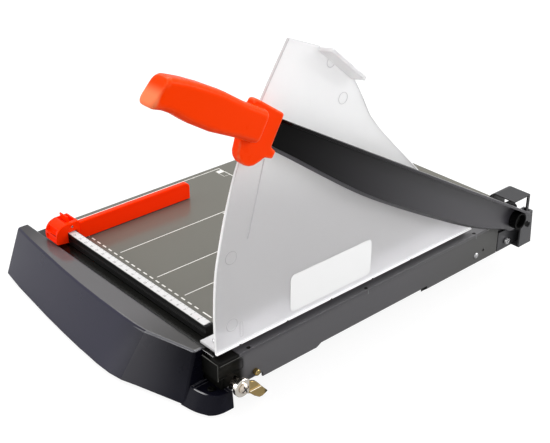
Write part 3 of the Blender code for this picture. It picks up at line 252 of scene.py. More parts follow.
def makeFadeGroup():
    group, entry, leave = startGroup(
        "placedFade",
        (("Vector", "NodeSocketVector", None), ("Axis", "NodeSocketVector", None),
         ("From", "NodeSocketFloat", 0.0), ("To", "NodeSocketFloat", 1.0),
         ("Colour", "NodeSocketColor", None), ("Tint", "NodeSocketColor", None),
         ("Gloss", "NodeSocketFloat", 0.0), ("Far Gloss", "NodeSocketFloat", 0.0)),
        (("Colour", "NodeSocketColor"), ("Gloss", "NodeSocketFloat")),
    )
    reach = group.nodes.new("ShaderNodeVectorMath")
    reach.operation = "DOT_PRODUCT"
    group.links.new(entry.outputs["Vector"], reach.inputs[0])
    group.links.new(entry.outputs["Axis"], reach.inputs[1])
    start, end = entry.outputs["From"], entry.outputs["To"]
    mask = addMapRange(group, reach.outputs["Value"], start, end, 0.0, 1.0, True)
    mixed = addMix(group, mask, entry.outputs["Colour"], entry.outputs["Tint"])
    group.links.new(mixed, leave.inputs["Colour"])
    gloss = addMapRange(group, mask, 0.0, 1.0, entry.outputs["Gloss"], entry.outputs["Far Gloss"])
    group.links.new(gloss, leave.inputs["Gloss"])
    return group


grainGroup = makeGrainGroup(grainLook)
mottleGroup = makeMottleGroup(mottleLook)
smudgeGroup = makeSmudgeGroup(smudgeLook)
edgeHighlightGroup = makeEdgeHighlightGroup(edgeHighlightLook)
brushGroup = makeBrushGroup(brushLook)
fadeGroup = makeFadeGroup()
print("shader groups ready")


def placeGroup(tree, group, values):
    node = tree.nodes.new("ShaderNodeGroup")
    node.node_tree = group
    for label, item in values.items():
        setInput(tree, node.inputs[label], item)
    return node


def solid(colour):
    return tuple(colour) + (1.0,)


# What a finish has where it says nothing else

standard = {
    "otherShare": 0.88, "mottle": 0.2, "mottleScale": 14.0, "smudge": 0.05, "smudgeScale": 30.0,
    "grain": 1500.0, "bumpDistance": 0.0002, "coat": 0.0, "coatRoughness": 0.2, "metallic": 0.0, "ior": 1.5,
    "specular": 0.5, "sheen": (1.0, 1.0, 1.0), "glow": 0.0, "transmission": 0.0, "fades": (),
}


def makeFinish(name, own):
    look = {**standard, **own}
    made = bpy.data.materials.new(name)
    made.use_nodes = True
    tree = made.node_tree
    shader = tree.nodes["Principled BSDF"]
    where = tree.nodes.new("ShaderNodeTexCoord").outputs["Object"]
    colour = look["colour"]
    other = tuple(channel * look["otherShare"] for channel in colour)
    shade = placeGroup(tree, mottleGroup, {
        "Vector": where, "Colour": solid(colour), "Other": solid(other),
        "Scale": look["mottleScale"], "Amount": look["mottle"],
    }).outputs["Colour"]
    gloss = look["coat"]
    for axis, start, end, tint, farGloss in look["fades"]:
        fade = placeGroup(tree, fadeGroup, {
            "Vector": where, "Axis": axis, "From": start, "To": end, "Colour": shade, "Tint": solid(tint),
            "Gloss": gloss, "Far Gloss": farGloss,
        })
        shade, gloss = fade.outputs["Colour"], fade.outputs["Gloss"]
    # Painted highlight along sharp edges, for finishes that ask for it
    if "highlightAmount" in look:
        shade = placeGroup(tree, edgeHighlightGroup, {
            "Vector": where, "Colour": shade, "Highlight": solid(look["highlightColour"]), "Amount": look["highlightAmount"],
        }).outputs["Colour"]
    tree.links.new(shade, shader.inputs["Base Color"])
    smudge = placeGroup(tree, smudgeGroup, {
        "Vector": where, "Roughness": look["roughness"], "Spread": look["smudge"],
        "Scale": look["smudgeScale"],
    })
    tree.links.new(smudge.outputs["Roughness"], shader.inputs["Roughness"])
    if "brushed" in look:
        relief = placeGroup(tree, brushGroup, {"Vector": where})
    else:
        relief = placeGroup(tree, grainGroup, {"Vector": where, "Scale": look["grain"]})
    bump = tree.nodes.new("ShaderNodeBump")
    bump.inputs["Strength"].default_value = look["bump"]
    bump.inputs["Distance"].default_value = look["bumpDistance"]
    tree.links.new(relief.outputs["Height"], bump.inputs["Height"])
    tree.links.new(bump.outputs["Normal"], shader.inputs["Normal"])
    setInput(tree, shader.inputs["Coat Weight"], gloss)
    shader.inputs["Coat Roughness"].default_value = look["coatRoughness"]
    shader.inputs["Metallic"].default_value = look["metallic"]
    shader.inputs["IOR"].default_value = look["ior"]
    shader.inputs["Specular IOR Level"].default_value = look["specular"]
    shader.inputs["Specular Tint"].default_value = solid(look["sheen"])
    # glow makes a finish give off light in its own colour: painted light
    shader.inputs["Emission Color"].default_value = solid(colour)
    shader.inputs["Emission Strength"].default_value = look["glow"]
    shader.inputs["Transmission Weight"].default_value = look["transmission"]
    return made


# Each fade is an axis, where along it the fade starts and ends, and the colour and coat that it ends with

finishes = {
    "tablePaint": {
        "colour": (0.100, 0.096, 0.080), "roughness": 0.22, "bump": 0.03, "mottle": 0.25,
        "otherShare": 0.94, "smudge": 0.08,
        # painted shade: the strip of table in front of the fence turns near black
        "fades": (((0, -1, 0), -squareY - 0.0065, -squareY - 0.0045, (0.003, 0.003, 0.002), 0.0),),
    },
    "railPaint": {
        "colour": (0.118, 0.116, 0.122), "roughness": 0.42, "bump": 0.04, "specular": 0.12,
        "fades": (
            # painted shade: a little darker towards the back
            ((0, 1, 0), 0.02, 0.20, (0.105, 0.105, 0.102), 0.0),
            # painted shade: near black at the front end
            ((0, -1, 0), -squareY - 0.019, -squareY - 0.011, (0.004, 0.004, 0.003), 0.0),
        ),
    },
    # near black: dark paint, and on the front rail, nose plate and lock plate also painted shade of the
    # shadowed front corner
    "railDark": {"colour": (0.0035, 0.0035, 0.003), "roughness": 0.4, "bump": 0.03, "specular": 0.08},
    "bracketPaint": {"colour": (0.014, 0.014, 0.016), "roughness": 0.34, "bump": 0.04, "specular": 0.42},
    # a lighter copy of the bracket paint: painted light on the pivot bracket's lit outer plate
    "bracketPaintedLight": {"colour": (0.052, 0.052, 0.056), "roughness": 0.34, "bump": 0.04, "specular": 0.42},
    "knifeSteel": {
        "colour": (0.085, 0.082, 0.090), "roughness": 0.32, "metallic": 0.35, "brushed": True, "bump": 0.05,
        # painted light: lighter towards the back
        "fades": (((0, 1, 0), -0.12, 0.18, (0.105, 0.103, 0.108), 0.0),),
    },
    "knifeTick": {"colour": (0.22, 0.22, 0.23), "roughness": 0.4, "bump": 0.03},
    "capPlastic": {
        "colour": (0.016, 0.015, 0.034), "roughness": 0.28, "bump": 0.015, "grain": 1700.0, "specular": 0.05,
        "coat": 0.85, "coatRoughness": 0.1,
        # painted shade: darker towards the kink on the right, with less coat
        "fades": (((1, 0, 0), 0.03, 0.10, (0.010, 0.010, 0.014), 0.45),),
    },
    # a lighter copy of the cap plastic for its top face: painted light, painted darker again towards both
    # ends
    "capTopPaintedLight": {
        "colour": (0.088, 0.085, 0.088), "roughness": 0.3, "bump": 0.015, "grain": 1700.0, "specular": 0.05,
        "coat": 0.8, "coatRoughness": 0.12,
        "fades": (
            ((1, 0, 0), 0.03, 0.115, (0.042, 0.041, 0.040), 0.6),
            ((-1, 0, 0), 0.09, 0.165, (0.028, 0.027, 0.029), 0.6),
        ),
    },
    # a darker copy of the cap plastic for the walls right of the kink: painted shade, darker still towards
    # the top and painted lighter near the kink
    "capPaintedShade": {
        "colour": (0.006, 0.006, 0.012), "roughness": 0.28, "bump": 0.015, "grain": 1700.0, "specular": 0.05,
        "coat": 0.2, "coatRoughness": 0.1,
        "fades": (
            ((0, 0, 1), capLow.z, capHigh.z, (0.003, 0.003, 0.006), 0.08),
            ((-1, 0, 0), -0.125, -0.062, (0.046, 0.045, 0.053), 0.25),
        ),
    },
    # a lighter, glossier copy for the rims right of the kink: painted highlight
    "capRimPaintedHighlight": {
        "colour": (0.07, 0.07, 0.08), "roughness": 0.2, "bump": 0.015, "grain": 1700.0, "coat": 1.0,
        "coatRoughness": 0.06,
    },
    "fenceBlack": {"colour": (0.004, 0.004, 0.004), "roughness": 0.34, "bump": 0.06, "specular": 0.3},
    "stripWhite": {"colour": (0.54, 0.535, 0.53), "roughness": 0.45, "bump": 0.03, "otherShare": 0.96},
    "labelWhite": {"colour": (0.98, 0.98, 0.98), "roughness": 0.5, "bump": 0.03, "otherShare": 0.97},
    "printWhite": {"colour": (0.66, 0.65, 0.61), "roughness": 0.5, "bump": 0.03, "otherShare": 0.9},
    "inkDark": {"colour": (0.02, 0.02, 0.022), "roughness": 0.5, "bump": 0.03},
    "guardFrosted": {
        "colour": (0.81, 0.805, 0.82), "roughness": 0.42, "bump": 0.02, "otherShare": 0.99,
        "grain": 2200.0, "transmission": 0.6, "ior": 1.3, "smudge": 0.04,
        # painted light: lighter towards the top
        "fades": (((0, 0.35, 1), 0.13, 0.19, (0.98, 0.98, 0.985), 0.0),),
    },
    # bright white edges of the guard: painted highlight, dimmer towards the top
    "guardEdgePaintedHighlight": {
        "colour": (1.0, 1.0, 1.0), "roughness": 0.3, "bump": 0.02, "otherShare": 0.99,
        "transmission": 0.1, "ior": 1.4,
        "fades": (((0, 0, 1), 0.16, 0.24, (0.62, 0.62, 0.63), 0.0),),
    },
    # glowing white band along the guard's foot: painted highlight
    "guardFootPaintedGlow": {
        "colour": (1.0, 1.0, 1.0), "roughness": 0.3, "bump": 0.02, "otherShare": 0.99, "glow": 0.25,
    },
    "guardBase": {
        "colour": (0.72, 0.715, 0.73), "roughness": 0.4, "bump": 0.02, "otherShare": 0.99,
        "transmission": 0.15, "ior": 1.4,
        "fades": (((0, -1, 0), 0.150, 0.176, (0.52, 0.515, 0.52), 0.0),),
    },
    "handleOrange": {
        "colour": (1.0, 0.046, 0.0002), "roughness": 0.28, "bump": 0.02, "otherShare": 0.97,
        # painted highlight along the grip's edges
        "highlightAmount": 1.0, "highlightColour": (1.0, 0.24, 0.10), "specular": 0.1, "sheen": (1.0, 0.25, 0.03),
        # painted light: the butt end turns a lighter orange
        "fades": ((tuple(gripAxis), gripTip - 0.005, gripTip - 0.002, (1.0, 0.22, 0.09), 0.0),),
    },
    "stopRed": {
        "colour": (1.0, 0.026, 0.0004), "roughness": 0.2, "bump": 0.02, "otherShare": 0.96,
        # glow: painted light that brightens the red
        "glow": 0.08, "specular": 0.15, "sheen": (1.0, 0.12, 0.02),
    },
    "armBlack": {
        "colour": (0.040, 0.038, 0.045), "roughness": 0.34, "bump": 0.08, "grain": 1300.0, "specular": 0.04,
        "coat": 1.0, "coatRoughness": 0.35,
        # painted shade and reflection: near black towards the handle end, with less coat
        "fades": (((0, -1, 0), -0.16, 0.14, (0.0015, 0.0013, 0.0014), 0.02),),
    },
    # black for the pivot dish and the punched holes: painted shade standing in for shadowed hollows
    "hollowPaintedShade": {"colour": (0.002, 0.002, 0.002), "roughness": 0.6, "bump": 0.05, "specular": 0.1},
    "brightSteel": {
        "colour": (0.6, 0.6, 0.61), "roughness": 0.22, "metallic": 1.0, "brushed": True, "bump": 0.06,
    },
    "brass": {"colour": (0.50, 0.37, 0.15), "roughness": 0.24, "metallic": 1.0, "bump": 0.05, "mottle": 0.4},
    # polished lock lever: cream-white metal; the brown towards the wing and its dark end are painted
    # reflection
    "lockLeverPaintedReflection": {
        "colour": (0.97, 0.92, 0.84), "roughness": 0.16, "metallic": 1.0, "bump": 0.03,
        "fades": (
            ((0, 1, 0), lockMiddle.y + 0.0058, lockMiddle.y + 0.0068, (0.58, 0.425, 0.18), 0.0),
            ((0, 1, 0), lockMiddle.y + 0.0230, lockMiddle.y + 0.0262, (0.12, 0.095, 0.05), 0.0),
        ),
    },
    "lockSteel": {
        "colour": (0.90, 0.80, 0.69), "roughness": 0.22, "metallic": 1.0, "brushed": True, "bump": 0.04,
    },
    "noseEdge": {"colour": (0.13, 0.13, 0.12), "roughness": 0.35, "bump": 0.04, "specular": 0.3},
    # a glowing pale strip for the crease of the lock's wing: painted highlight
    "lockShine": {"colour": (0.98, 0.90, 0.72), "roughness": 0.3, "bump": 0.03, "glow": 0.25},
    "rubber": {"colour": (0.012, 0.012, 0.012), "roughness": 0.8, "bump": 0.3},
}
materials = {name: makeFinish(name, look) for name, look in finishes.items()}
print("materials ready")


# Pieces that keep their solids' shape get rounded edges and a finish

skinLook = {"segments": 2, "angle": 30, "shortest": 3, "flatAngle": 0.5, "smoothAngle": 40, "weight": 90}


def linkPiece(name, mesh, finish, body, smoothAngle=skinLook["smoothAngle"]):
    piece = bpy.data.objects.new(name, mesh)
    bpy.context.scene.collection.objects.link(piece)
    mesh.materials.append(materials[finish])
    mesh.shade_smooth()
    mesh.set_sharp_from_angle(angle=math.radians(smoothAngle))
    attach(piece, body)
    return piece


def roundEdges(shape, width):
    edges = [
        edge for edge in shape.edges
        if len(edge.link_faces) == 2 and edge.calc_face_angle(0.0) > math.radians(skinLook["angle"])
        and edge.calc_length() > width * skinLook["shortest"]
    ]
    if edges and width > 0:
        bmesh.ops.bevel(
            shape, geom=edges, offset=width, offset_type="OFFSET", segments=skinLook["segments"],
            profile=0.5, affect="EDGES", clamp_overlap=False, material=-1, loop_slide=True,
        )


def copyNode(node):
    shape = bmesh.new()
    shape.from_mesh(nodes[node].data)
    bmesh.ops.remove_doubles(shape, verts=shape.verts, dist=layout["mergeDistance"])
    bmesh.ops.dissolve_limit(
        shape, angle_limit=math.radians(skinLook["flatAngle"]), use_dissolve_boundaries=False,
        verts=shape.verts, edges=shape.edges,
    )
    return shape


def settleOrder(shape):
    # Bisect and spin leave their elements in an order that changes from run to run
    for items, place in (
        (shape.verts, lambda vert: tuple(vert.co)),
        (shape.edges, lambda edge: sorted(tuple(vert.co) for vert in edge.verts)),
        (shape.faces, lambda face: sorted(tuple(vert.co) for vert in face.verts)),
    ):
        ranks = {item: rank for rank, item in enumerate(sorted(items, key=place))}
        items.sort(key=ranks.get)
        items.index_update()


def softenNode(node, finish, width, smoothAngle=skinLook["smoothAngle"], zoneOf=None, zones=()):
    shape = copyNode(node)
    roundEdges(shape, width)
    if zoneOf:
        zoneOf(shape)
    mesh = bpy.data.meshes.new(node + "_skin")
    shape.to_mesh(mesh)
    shape.free()
    piece = linkPiece(node + "_skin", mesh, finish, nodes[node]["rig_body"], smoothAngle)
    for zone in zones:
        mesh.materials.append(materials[zone])
    weighted = piece.modifiers.new("flat faces", "WEIGHTED_NORMAL")
    weighted.keep_sharp = True
    weighted.weight = skinLook["weight"]
    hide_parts(node)


softened = {
    "table_top": ("tablePaint", 0.0004),
    "left_rail": ("railPaint", 0.0003),
    "rear_rail": ("railPaint", 0.0003),
    "front_rail": ("railDark", 0.0003),
    "side_rail": ("railPaint", 0.0003),
    "rail_nose_plate": ("railDark", 0.0003),
    # the lock plate closes the view into the frame behind the lock; its near black is painted shade
    "lock_plate": ("railDark", 0.0003),
    "rail_rivet": ("brightSteel", 0.0002),
    "rear_block_1": ("capPlastic", 0.0003),
    "rear_block_2": ("capPlastic", 0.0003),
    "cap_screw": ("railDark", 0.0001),
    "bed_knife": ("knifeSteel", 0.0002),
    "knife_end_block": ("railDark", 0.0003),
    "knife_screw_1": ("railDark", 0.0001),
    "knife_screw_2": ("railDark", 0.0001),
    "knife_screw_3": ("railDark", 0.0001),
    "fence_bar": ("fenceBlack", 0.0002),
    "fence_scale": ("stripWhite", 0.0001),
    "backstop_block": ("stopRed", 0.0006),
    "backstop_bar": ("stopRed", 0.0005),
    "clamp_pin": ("brightSteel", 0.0001),
    "clamp_lever": ("stopRed", 0.0005),
    "guard_foot": ("guardBase", 0.0003),
    "guard_lip": ("guardFrosted", 0.0003),
    "guard_label": ("labelWhite", 0.0),
    "guard_screw_1": ("brightSteel", 0.0001),
    "guard_screw_2": ("brightSteel", 0.0001),
    "guard_spacer_1": ("guardFrosted", 0.0002),
    "guard_spacer_2": ("guardFrosted", 0.0002),
    "blade_arm": ("armBlack", 0.0005),
    "blade": ("knifeSteel", 0.0001),
    "blade_screw_1": ("brightSteel", 0.0001),
    "blade_screw_2": ("brightSteel", 0.0001),
    "blade_screw_3": ("brightSteel", 0.0001),
    "handle_screw_1": ("brightSteel", 0.0001),
    "handle_screw_2": ("brightSteel", 0.0001),
    # the pivot dish is black as painted shade of a shadowed recess
    "pivot_dish": ("hollowPaintedShade", 0.0003),
    "pivot_bolt": ("railDark", 0.0003),
    "pivot_bush": ("brightSteel", 0.0003),
    "pivot_nut": ("brightSteel", 0.0003),
    "pivot_plate": ("bracketPaint", 0.0003),
    "pivot_bracket": ("bracketPaintedLight", 0.0003),
    "bracket_bolt": ("brightSteel", 0.0002),
    "pivot_hoop": ("bracketPaint", 0.0006),
    "lock_bush": ("lockSteel", 0.0003),
    "lock_lever": ("lockLeverPaintedReflection", 0.0004),
    "lock_screw": ("lockSteel", 0.0003),
    "lock_stud": ("brass", 0.0003),
}
softened.update({f"foot_{k}": ("rubber", 0.0002) for k in range(1, 5)})
for node, (finish, width) in softened.items():
    softenNode(node, finish, width)
print("solids dressed:", len(softened))


# Front cap: painted shade on its walls right of the kink, painted highlight on the rims there, and painted
# light on its top face, each a copy of the cap plastic

capLook = {
    "edge": 0.0008, "smoothAngle": 13, "kinkFoot": 0.0613, "kinkLean": 0.273, "rimFrom": 0.5, "topFrom": 0.97,
    "topDepth": 0.002, "zones": ("capPlastic", "capPaintedShade", "capRimPaintedHighlight", "capTopPaintedLight"),
}


def zoneCap(shape):
    look = capLook
    for face in shape.faces:
        centre = face.calc_center_median()
        onTop = face.normal.z > look["topFrom"] and centre.z > capHigh.z - look["topDepth"]
        kink = look["kinkFoot"] + (centre.z - capLow.z - look["topDepth"]) * look["kinkLean"]
        if onTop:
            zone = "capTopPaintedLight"
        elif centre.x < kink:
            zone = "capPlastic"
        elif look["rimFrom"] < face.normal.z < look["topFrom"]:
            zone = "capRimPaintedHighlight"
        else:
            zone = "capPaintedShade"
        face.material_index = look["zones"].index(zone)


mainZone, *otherZones = capLook["zones"]
softenNode("front_end_cap", mainZone, capLook["edge"], capLook["smoothAngle"], zoneCap, otherZones)
print("front cap done")


# Guard: one frosted sheet, with a painted highlight on its edges and a glowing band along its foot as painted
# highlight

guardLook = {
    "edge": 0.0004, "band": 0.0028, "faceFrom": 0.9, "zones": ("guardFrosted", "guardEdgePaintedHighlight", "guardFootPaintedGlow"),
}


def zoneGuard(shape):
    look = guardLook
    level = guardLow.z + look["band"]
    everything = list(shape.verts) + list(shape.edges) + list(shape.faces)
    bmesh.ops.bisect_plane(
        shape, geom=everything, dist=layout["mergeDistance"], plane_co=(0, 0, level), plane_no=(0, 0, 1),
    )
    settleOrder(shape)
    for face in shape.faces:
        if face.calc_center_median().z < level:
            zone = "guardFootPaintedGlow"
        else:
            zone = "guardEdgePaintedHighlight" if abs(face.normal.x) < look["faceFrom"] else "guardFrosted"
        face.material_index = look["zones"].index(zone)


mainZone, *otherZones = guardLook["zones"]
softenNode("guard_plate", mainZone, guardLook["edge"], zoneOf=zoneGuard, zones=otherZones)
print("guard done")


# Handle: one moulding, its edges melted into each other

handleLook = {"voxel": 0.0007, "smoothing": 5, "force": 0.5, "smoothAngle": 180}


def makeHandle(look):
    shape = copyNode("handle")
    bmesh.ops.triangulate(shape, faces=shape.faces)
    mesh = bpy.data.meshes.new("handle_skin")
    shape.to_mesh(mesh)
    shape.free()
    piece = linkPiece("handle_skin", mesh, "handleOrange", nodes["handle"]["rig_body"], look["smoothAngle"])
    melted = piece.modifiers.new("one moulding", "REMESH")
    melted.mode = "VOXEL"
    melted.voxel_size = look["voxel"]
    melted.use_smooth_shade = True
    eased = piece.modifiers.new("eased edges", "SMOOTH")
    eased.factor = look["force"]
    eased.iterations = look["smoothing"]
    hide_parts("handle")


makeHandle(handleLook)
print("handle done")


# Print on the table: format frames, their small boxes and the dashed row before the fence

def addStrip(shape, low, high):
    middle = (Vector(low) + Vector(high)) / 2
    size = Vector(high) - Vector(low)
    bmesh.ops.create_cube(
        shape, size=1.0, matrix=Matrix.Translation(middle) @ Matrix.Diagonal(size.to_4d()),
    )


def finishPiece(shape, name, finish, smoothAngle=skinLook["smoothAngle"], body="base"):
    mesh = bpy.data.meshes.new(name)
    shape.to_mesh(mesh)
    shape.free()
    piece = linkPiece(name, mesh, finish, body, smoothAngle)


tablePrint = {
    "line": 0.0009,
    "height": 0.00004,
    "start": 0.0335,
    "frames": ((0.297, 0.228), (0.210, 0.166), (0.148, 0.123), (0.105, 0.092)),
    "boxes": ((0.0165, 0.0080), (0.0070, 0.0038), (0.0070, 0.0038), (0.0070, 0.0038)),
    "boxInset": 0.25,
    "boxFill": 0.4,
    "boxLine": 0.00036,
    "end": 0.016,
    "dashY": 0.0288,
    "dashWidth": 0.0014,
    "dashLength": 0.0056,
    "dashPitch": 0.010,
    "dashFrom": 0.264,
    "dashTo": 0.076,
    "lastDash": (0.0717, 0.0593),
}


def makeTablePrint(look):
    shape = bmesh.new()
    half, thin = look["line"] / 2, look["boxLine"]
    bottom, top = tableZ - look["height"] / 2, tableZ + look["height"]
    for (reach, depth), (boxWidth, boxDepth) in zip(look["frames"], look["boxes"]):
        x, y = cutX - reach, squareY + depth
        addStrip(shape, (x - half, squareY + look["start"], bottom), (x + half, y + half, top))
        addStrip(shape, (x + half, y - half, bottom), (cutX - look["end"], y + half, top))
        left = x + boxWidth * look["boxInset"]
        right = left + boxWidth
        near, far = y - half - boxDepth, y - half
        addStrip(shape, (left, near, bottom), (right, near + thin, top))
        addStrip(shape, (left, near + thin, bottom), (left + thin, far, top))
        addStrip(shape, (right - thin, near + thin, bottom), (right, far, top))
        filled = x + boxWidth * (look["boxInset"] + look["boxFill"])
        addStrip(shape, (left + thin * 2, near + thin * 2, bottom), (filled, far - thin, top))
    place = look["dashFrom"]
    wide = look["dashWidth"] / 2
    y = squareY + look["dashY"]
    while place > look["dashTo"]:
        x = cutX - place
        addStrip(shape, (x, y - wide, bottom), (x + look["dashLength"], y + wide, top))
        place -= look["dashPitch"]
    first, last = look["lastDash"]
    addStrip(shape, (cutX - first, y - wide, bottom), (cutX - last, y + wide, top))
    finishPiece(shape, "table_print", "printWhite")


makeTablePrint(tablePrint)
print("table print done")


# Scale on the fence: a tick for each half centimetre and plain numbers

scalePrint = {
    "ticksPerMetre": 200,
    "height": 0.00003,
    "tick": 0.0003,
    "short": 0.0012,
    "long": 0.0020,
    "inset": 0.0004,
    "numberSize": 0.0036,
    "numberUp": 0.0014,
    "endRoom": 0.004,
}


def addNumber(shape, text, size, place, height):
    curve = bpy.data.curves.new("number", "FONT")
    curve.body = text
    curve.size = size
    curve.align_x = "CENTER"
    curve.extrude = height / 2
    lettering = bpy.data.objects.new("number", curve)
    bpy.context.scene.collection.objects.link(lettering)
    bpy.context.view_layer.update()
    settled = lettering.evaluated_get(bpy.context.evaluated_depsgraph_get())
    mesh = bpy.data.meshes.new_from_object(settled)
    mesh.transform(Matrix.Translation(place))
    shape.from_mesh(mesh)
    bpy.data.objects.remove(lettering)
    bpy.data.curves.remove(curve)
    bpy.data.meshes.remove(mesh)


def makeScalePrint(look):
    low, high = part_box("fence_scale")
    shape = bmesh.new()
    bottom, top = high.z - look["height"], high.z + look["height"]
    back = high.y - look["inset"]
    half = look["tick"] / 2
    often = look["ticksPerMetre"]
    for mark in range(math.ceil((cutX - high.x) * often), math.floor((cutX - low.x) * often) + 1):
        x = cutX - mark / often
        whole = mark % 2 == 0
        reach = look["long"] if whole else look["short"]
        addStrip(shape, (x - half, back - reach, bottom), (x + half, back, top))
        if whole and low.x + look["endRoom"] < x < high.x - look["endRoom"]:
            place = (x, low.y + look["numberUp"], high.z)
            addNumber(shape, str(mark // 2), look["numberSize"], place, look["height"] * 2)
    finishPiece(shape, "fence_scale_print", "inkDark")


makeScalePrint(scalePrint)
print("scale print done")


# Marks moulded into the guard: ejector rings, a slot and one long line, and notches along its foot

guardMarks = {
    "rings": (
        (0.0094, 0.0926, 0.0058), (0.0088, 0.0284, 0.0058),
        (0.1313, 0.1977, 0.0050), (0.1163, 0.2323, 0.0044),
    ),
    "ringWire": 0.00028,
    "line": ((0.045, 0.169), (0.0405, 0.1525), (0.036, 0.136), (0.0315, 0.120), (0.027, 0.104)),
    "lineWire": 0.0006,
    "slot": (0.0189, 0.0198, 0.0016, 0.0075),
    "sides": 8,
    "ringSteps": 48,
    "bendSteps": 12,
    "smoothAngle": 60,
}


def startWire(shape, place, radius, sides, capped=False):
    ring = bmesh.ops.create_circle(
        shape, cap_ends=capped, segments=sides, radius=radius, matrix=Matrix.Translation(place),
    )["verts"]
    return list(ring), list(dict.fromkeys(edge for vert in ring for edge in vert.link_edges))


def turnWire(shape, verts, edges, centre, angle, steps, full=False):
    made = bmesh.ops.spin(
        shape, geom=verts + edges, cent=centre, axis=(1, 0, 0), dvec=(0, 0, 0), angle=angle, steps=steps,
        use_merge=full, use_duplicate=False,
    )["geom_last"]
    return splitGeometry(made)


def splitGeometry(made):
    verts = [item for item in made if isinstance(item, bmesh.types.BMVert)]
    edges = [item for item in made if isinstance(item, bmesh.types.BMEdge)]
    return verts, edges


def runWire(shape, edges, step):
    verts, edges = splitGeometry(bmesh.ops.extrude_edge_only(shape, edges=edges)["geom"])
    bmesh.ops.translate(shape, verts=verts, vec=step)
    return verts, [edge for edge in edges if all(vert in verts for vert in edge.verts)]


def makeGuardMarks(look):
    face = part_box("guard_plate")[1].x
    shape = bmesh.new()
    sides = look["sides"]
    for along, up, radius in look["rings"]:
        centre = Vector((face, squareY + along, tableZ + up))
        verts, edges = startWire(shape, centre + Vector((0, radius, 0)), look["ringWire"], sides)
        turnWire(shape, verts, edges, centre, 2 * math.pi, look["ringSteps"], True)
    along, up, halfWidth, halfHeight = look["slot"]
    upper = Vector((face, squareY + along, tableZ + up + halfHeight - halfWidth))
    drop = Vector((0, 0, -2 * (halfHeight - halfWidth)))
    verts, edges = startWire(shape, upper + Vector((0, halfWidth, 0)), look["ringWire"], sides)
    verts, edges = turnWire(shape, verts, edges, upper, math.pi, look["bendSteps"])
    verts, edges = runWire(shape, edges, drop)
    verts, edges = turnWire(shape, verts, edges, upper + drop, math.pi, look["bendSteps"])
    runWire(shape, edges, -drop)
    line = [Vector((face, squareY + along, tableZ + up)) for along, up in look["line"]]
    verts, edges = startWire(shape, line[0], look["lineWire"], sides, True)
    for near, far in zip(line, line[1:]):
        verts, edges = runWire(shape, edges, far - near)
    bmesh.ops.edgeloop_fill(shape, edges=edges)
    bmesh.ops.remove_doubles(shape, verts=shape.verts, dist=layout["mergeDistance"])
    bmesh.ops.recalc_face_normals(shape, faces=shape.faces)
    settleOrder(shape)
    finishPiece(shape, "guard_marks", "guardBase", look["smoothAngle"])


makeGuardMarks(guardMarks)

guardNotches = {
    "places": (0.0162, 0.070, 0.1237, 0.1775, 0.2312), "length": 0.0022, "height": 0.0012, "proud": 0.00005,
}


def makeGuardNotches(look):
    shape = bmesh.new()
    for along in look["places"]:
        y = squareY + along
        addStrip(
            shape, (guardHigh.x - look["proud"], y, guardLow.z + look["proud"]),
            (guardHigh.x + look["proud"], y + look["length"], guardLow.z + look["height"]),
        )
    finishPiece(shape, "guard_notches", "inkDark")


makeGuardNotches(guardNotches)

knifeTicks = {"places": (0.1677, 0.326), "width": 0.0007, "top": 0.0012, "foot": 0.0052, "proud": 0.00004}


def makeKnifeTicks(look):
    shape = bmesh.new()
    for along in look["places"]:
        y = squareY + along
        addStrip(
            shape, (cutX - look["proud"], y, knifeHigh.z - look["foot"]),
            (cutX + look["proud"], y + look["width"], knifeHigh.z - look["top"]),
        )
    finishPiece(shape, "knife_ticks", "knifeTick")


makeKnifeTicks(knifeTicks)
print("guard and knife marks done")


# Cross cut in the head of the lock's screw, and a glowing strip along the crease of its wing: painted
# highlight

crossLook = {"length": 0.0074, "width": 0.0013, "proud": 0.00004, "depth": 0.0006, "tilt": 25}


def makeLockCross(look):
    shape = bmesh.new()
    half, wide = look["length"] / 2, look["width"] / 2
    addStrip(shape, (-look["depth"], -half, -wide), (look["proud"], half, wide))
    addStrip(shape, (-look["depth"], -wide, wide), (look["proud"], wide, half))
    addStrip(shape, (-look["depth"], -wide, -half), (look["proud"], wide, -wide))
    place = Vector((lockHigh.x, lockMiddle.y, lockMiddle.z))
    turned = Matrix.Translation(place) @ Matrix.Rotation(math.radians(look["tilt"]), 4, "X")
    bmesh.ops.transform(shape, matrix=turned, verts=shape.verts)
    finishPiece(shape, "lock_cross", "inkDark")


makeLockCross(crossLook)

creaseHighlightLook = {"from": (-0.1553, 0.0158), "to": (-0.1435, 0.0156), "width": 0.0005, "proud": 0.0003}


def makeWingCreaseHighlight(look):
    shape = bmesh.new()
    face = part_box("lock_lever")[1].x
    start, end = Vector((face, *look["from"])), Vector((face, *look["to"]))
    length = (end - start).length
    half = look["width"] / 2
    addStrip(shape, (-look["proud"], 0, -half), (look["proud"], length, half))
    lean = math.atan2(end.z - start.z, end.y - start.y)
    turned = Matrix.Translation(start) @ Matrix.Rotation(lean, 4, "X")
    bmesh.ops.transform(shape, matrix=turned, verts=shape.verts)
    finishPiece(shape, "wing_crease_highlight", "lockShine", body="lock")


makeWingCreaseHighlight(creaseHighlightLook)
print("lock marks done")


# Light strips along the edges of the rail's nose and the top edge behind it

noseLook = {"line": 0.0004, "proud": 0.00005, "back": -0.157, "foot": 0.030}


def makeNoseEdges(look):
    shape = bmesh.new()
    (left, front, _), (right, _, top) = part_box("rail_nose_plate")
    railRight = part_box("side_rail")[1].x
    line, proud = look["line"], look["proud"]
    addStrip(shape, (left + line, front - proud, top - line), (right - line, front + line, top + proud))
    addStrip(shape, (right - line, front - proud, look["foot"]), (right, front + line, top - line))
    addStrip(
        shape, (railRight - line, front + line, top - line), (railRight + proud, look["back"], top + proud),
    )
    finishPiece(shape, "nose_edges", "noseEdge")


makeNoseEdges(noseLook)
print("nose edges done")


# Painted shade: black marks for the dark hollows of the pivot bracket's eye and of the slot punched beside
# the rail's lower edge

